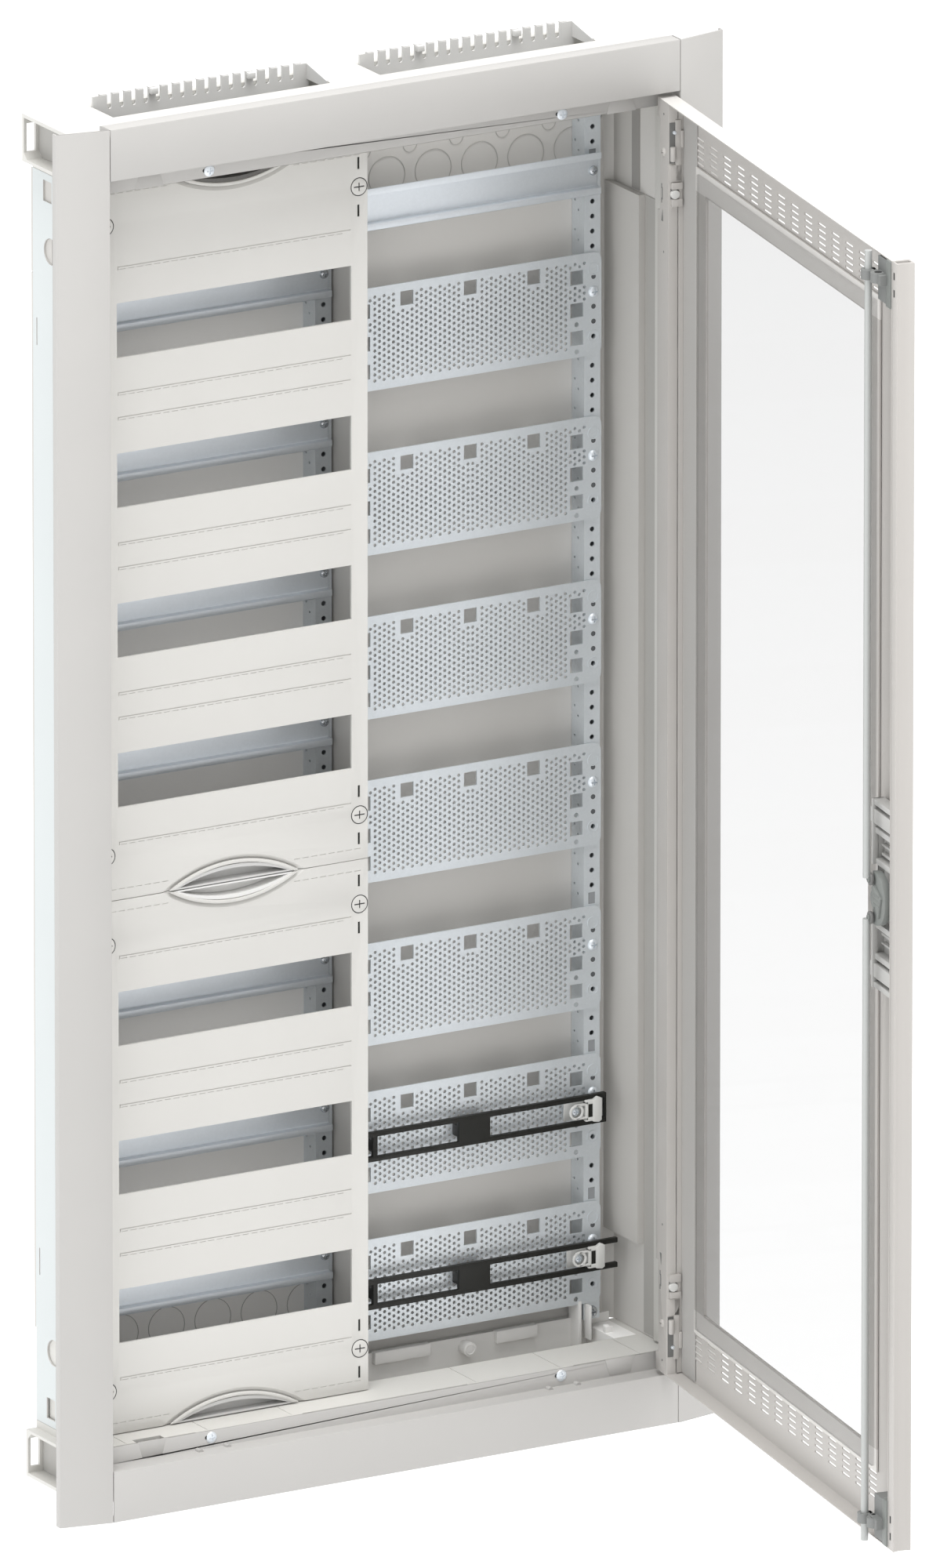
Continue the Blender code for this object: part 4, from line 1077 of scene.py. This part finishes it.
AZIMUTH = radians(30.191)
ELEVATION = radians(16.877)
DISTANCE = 33.392               # metres, like the rest of the camera and the lights
LENS = 954.36
AIM = Vector((0.0, -0.075, -0.0005))
AIM_OFFSET = Vector((-0.07732, 0.01242))      # where the aim point lies from the optical axis


def make_camera():
    """A long lens in front, to the left and above."""
    ahead = Vector((sin(AZIMUTH) * cos(ELEVATION), cos(AZIMUTH) * cos(ELEVATION), -sin(ELEVATION)))
    right = Vector((cos(AZIMUTH), -sin(AZIMUTH), 0.0))
    up = right.cross(ahead)
    place = AIM - right * AIM_OFFSET.x - up * AIM_OFFSET.y - ahead * DISTANCE
    data = bpy.data.cameras.new("camera")
    data.lens = LENS
    data.sensor_width = 36.0
    data.clip_start = 1.0
    data.clip_end = 200.0
    camera = linked("camera", data)
    turn = Matrix((right, up, -ahead)).transposed().to_4x4()
    camera.matrix_world = Matrix.Translation(place) @ turn
    bpy.context.scene.camera = camera


def make_area(name, place, target, size, power, colour=(1.0, 1.0, 1.0)):
    """A soft square light."""
    data = bpy.data.lights.new(name, "AREA")
    data.shape = "SQUARE"
    data.size = size
    data.energy = power
    data.color = colour
    lamp = linked(name, data)
    lamp.location = place
    lamp.rotation_euler = (Vector(target) - Vector(place)).to_track_quat("-Z", "Y").to_euler()


def make_stage():
    """A pale floor, an even surround and soft lights from above, the right and the left."""
    bpy.ops.mesh.primitive_plane_add(size=60.0, location=(0.0, 0.0, -1.5))
    floor = bpy.context.object
    floor.name = "floor"
    floor.data.materials.append(painted("floor_white", (0.97, 0.97, 0.97), 0.9, 20.0, 0.0, 0.0))
    world = bpy.data.worlds.new("surround")
    bpy.context.scene.world = world
    world.use_nodes = True
    surround = world.node_tree.nodes["Background"]
    surround.inputs["Color"].default_value = (1.0, 1.0, 1.0, 1.0)
    surround.inputs["Strength"].default_value = 0.9
    make_area("top_light", (-1.0, -2.4, 12.0), (0, 0, 0), 7.0, 1420.0)
    make_area("right_light", (4.5, -6.0, 9.0), (0, 0, 0), 5.0, 200.0)
    make_area("left_light", (-9.7, -1.3, 2.6), (0, 0, 0), 6.0, 210.0, (0.93, 0.97, 1.0))
    bpy.context.scene.view_settings.view_transform = "Standard"


make_plates()
make_rails()
make_uprights()
make_covers()
make_frame()
make_box()
make_caps()
make_back()
make_wells()
make_combs()
make_sides()
make_holders()
make_door()
make_camera()
make_stage()
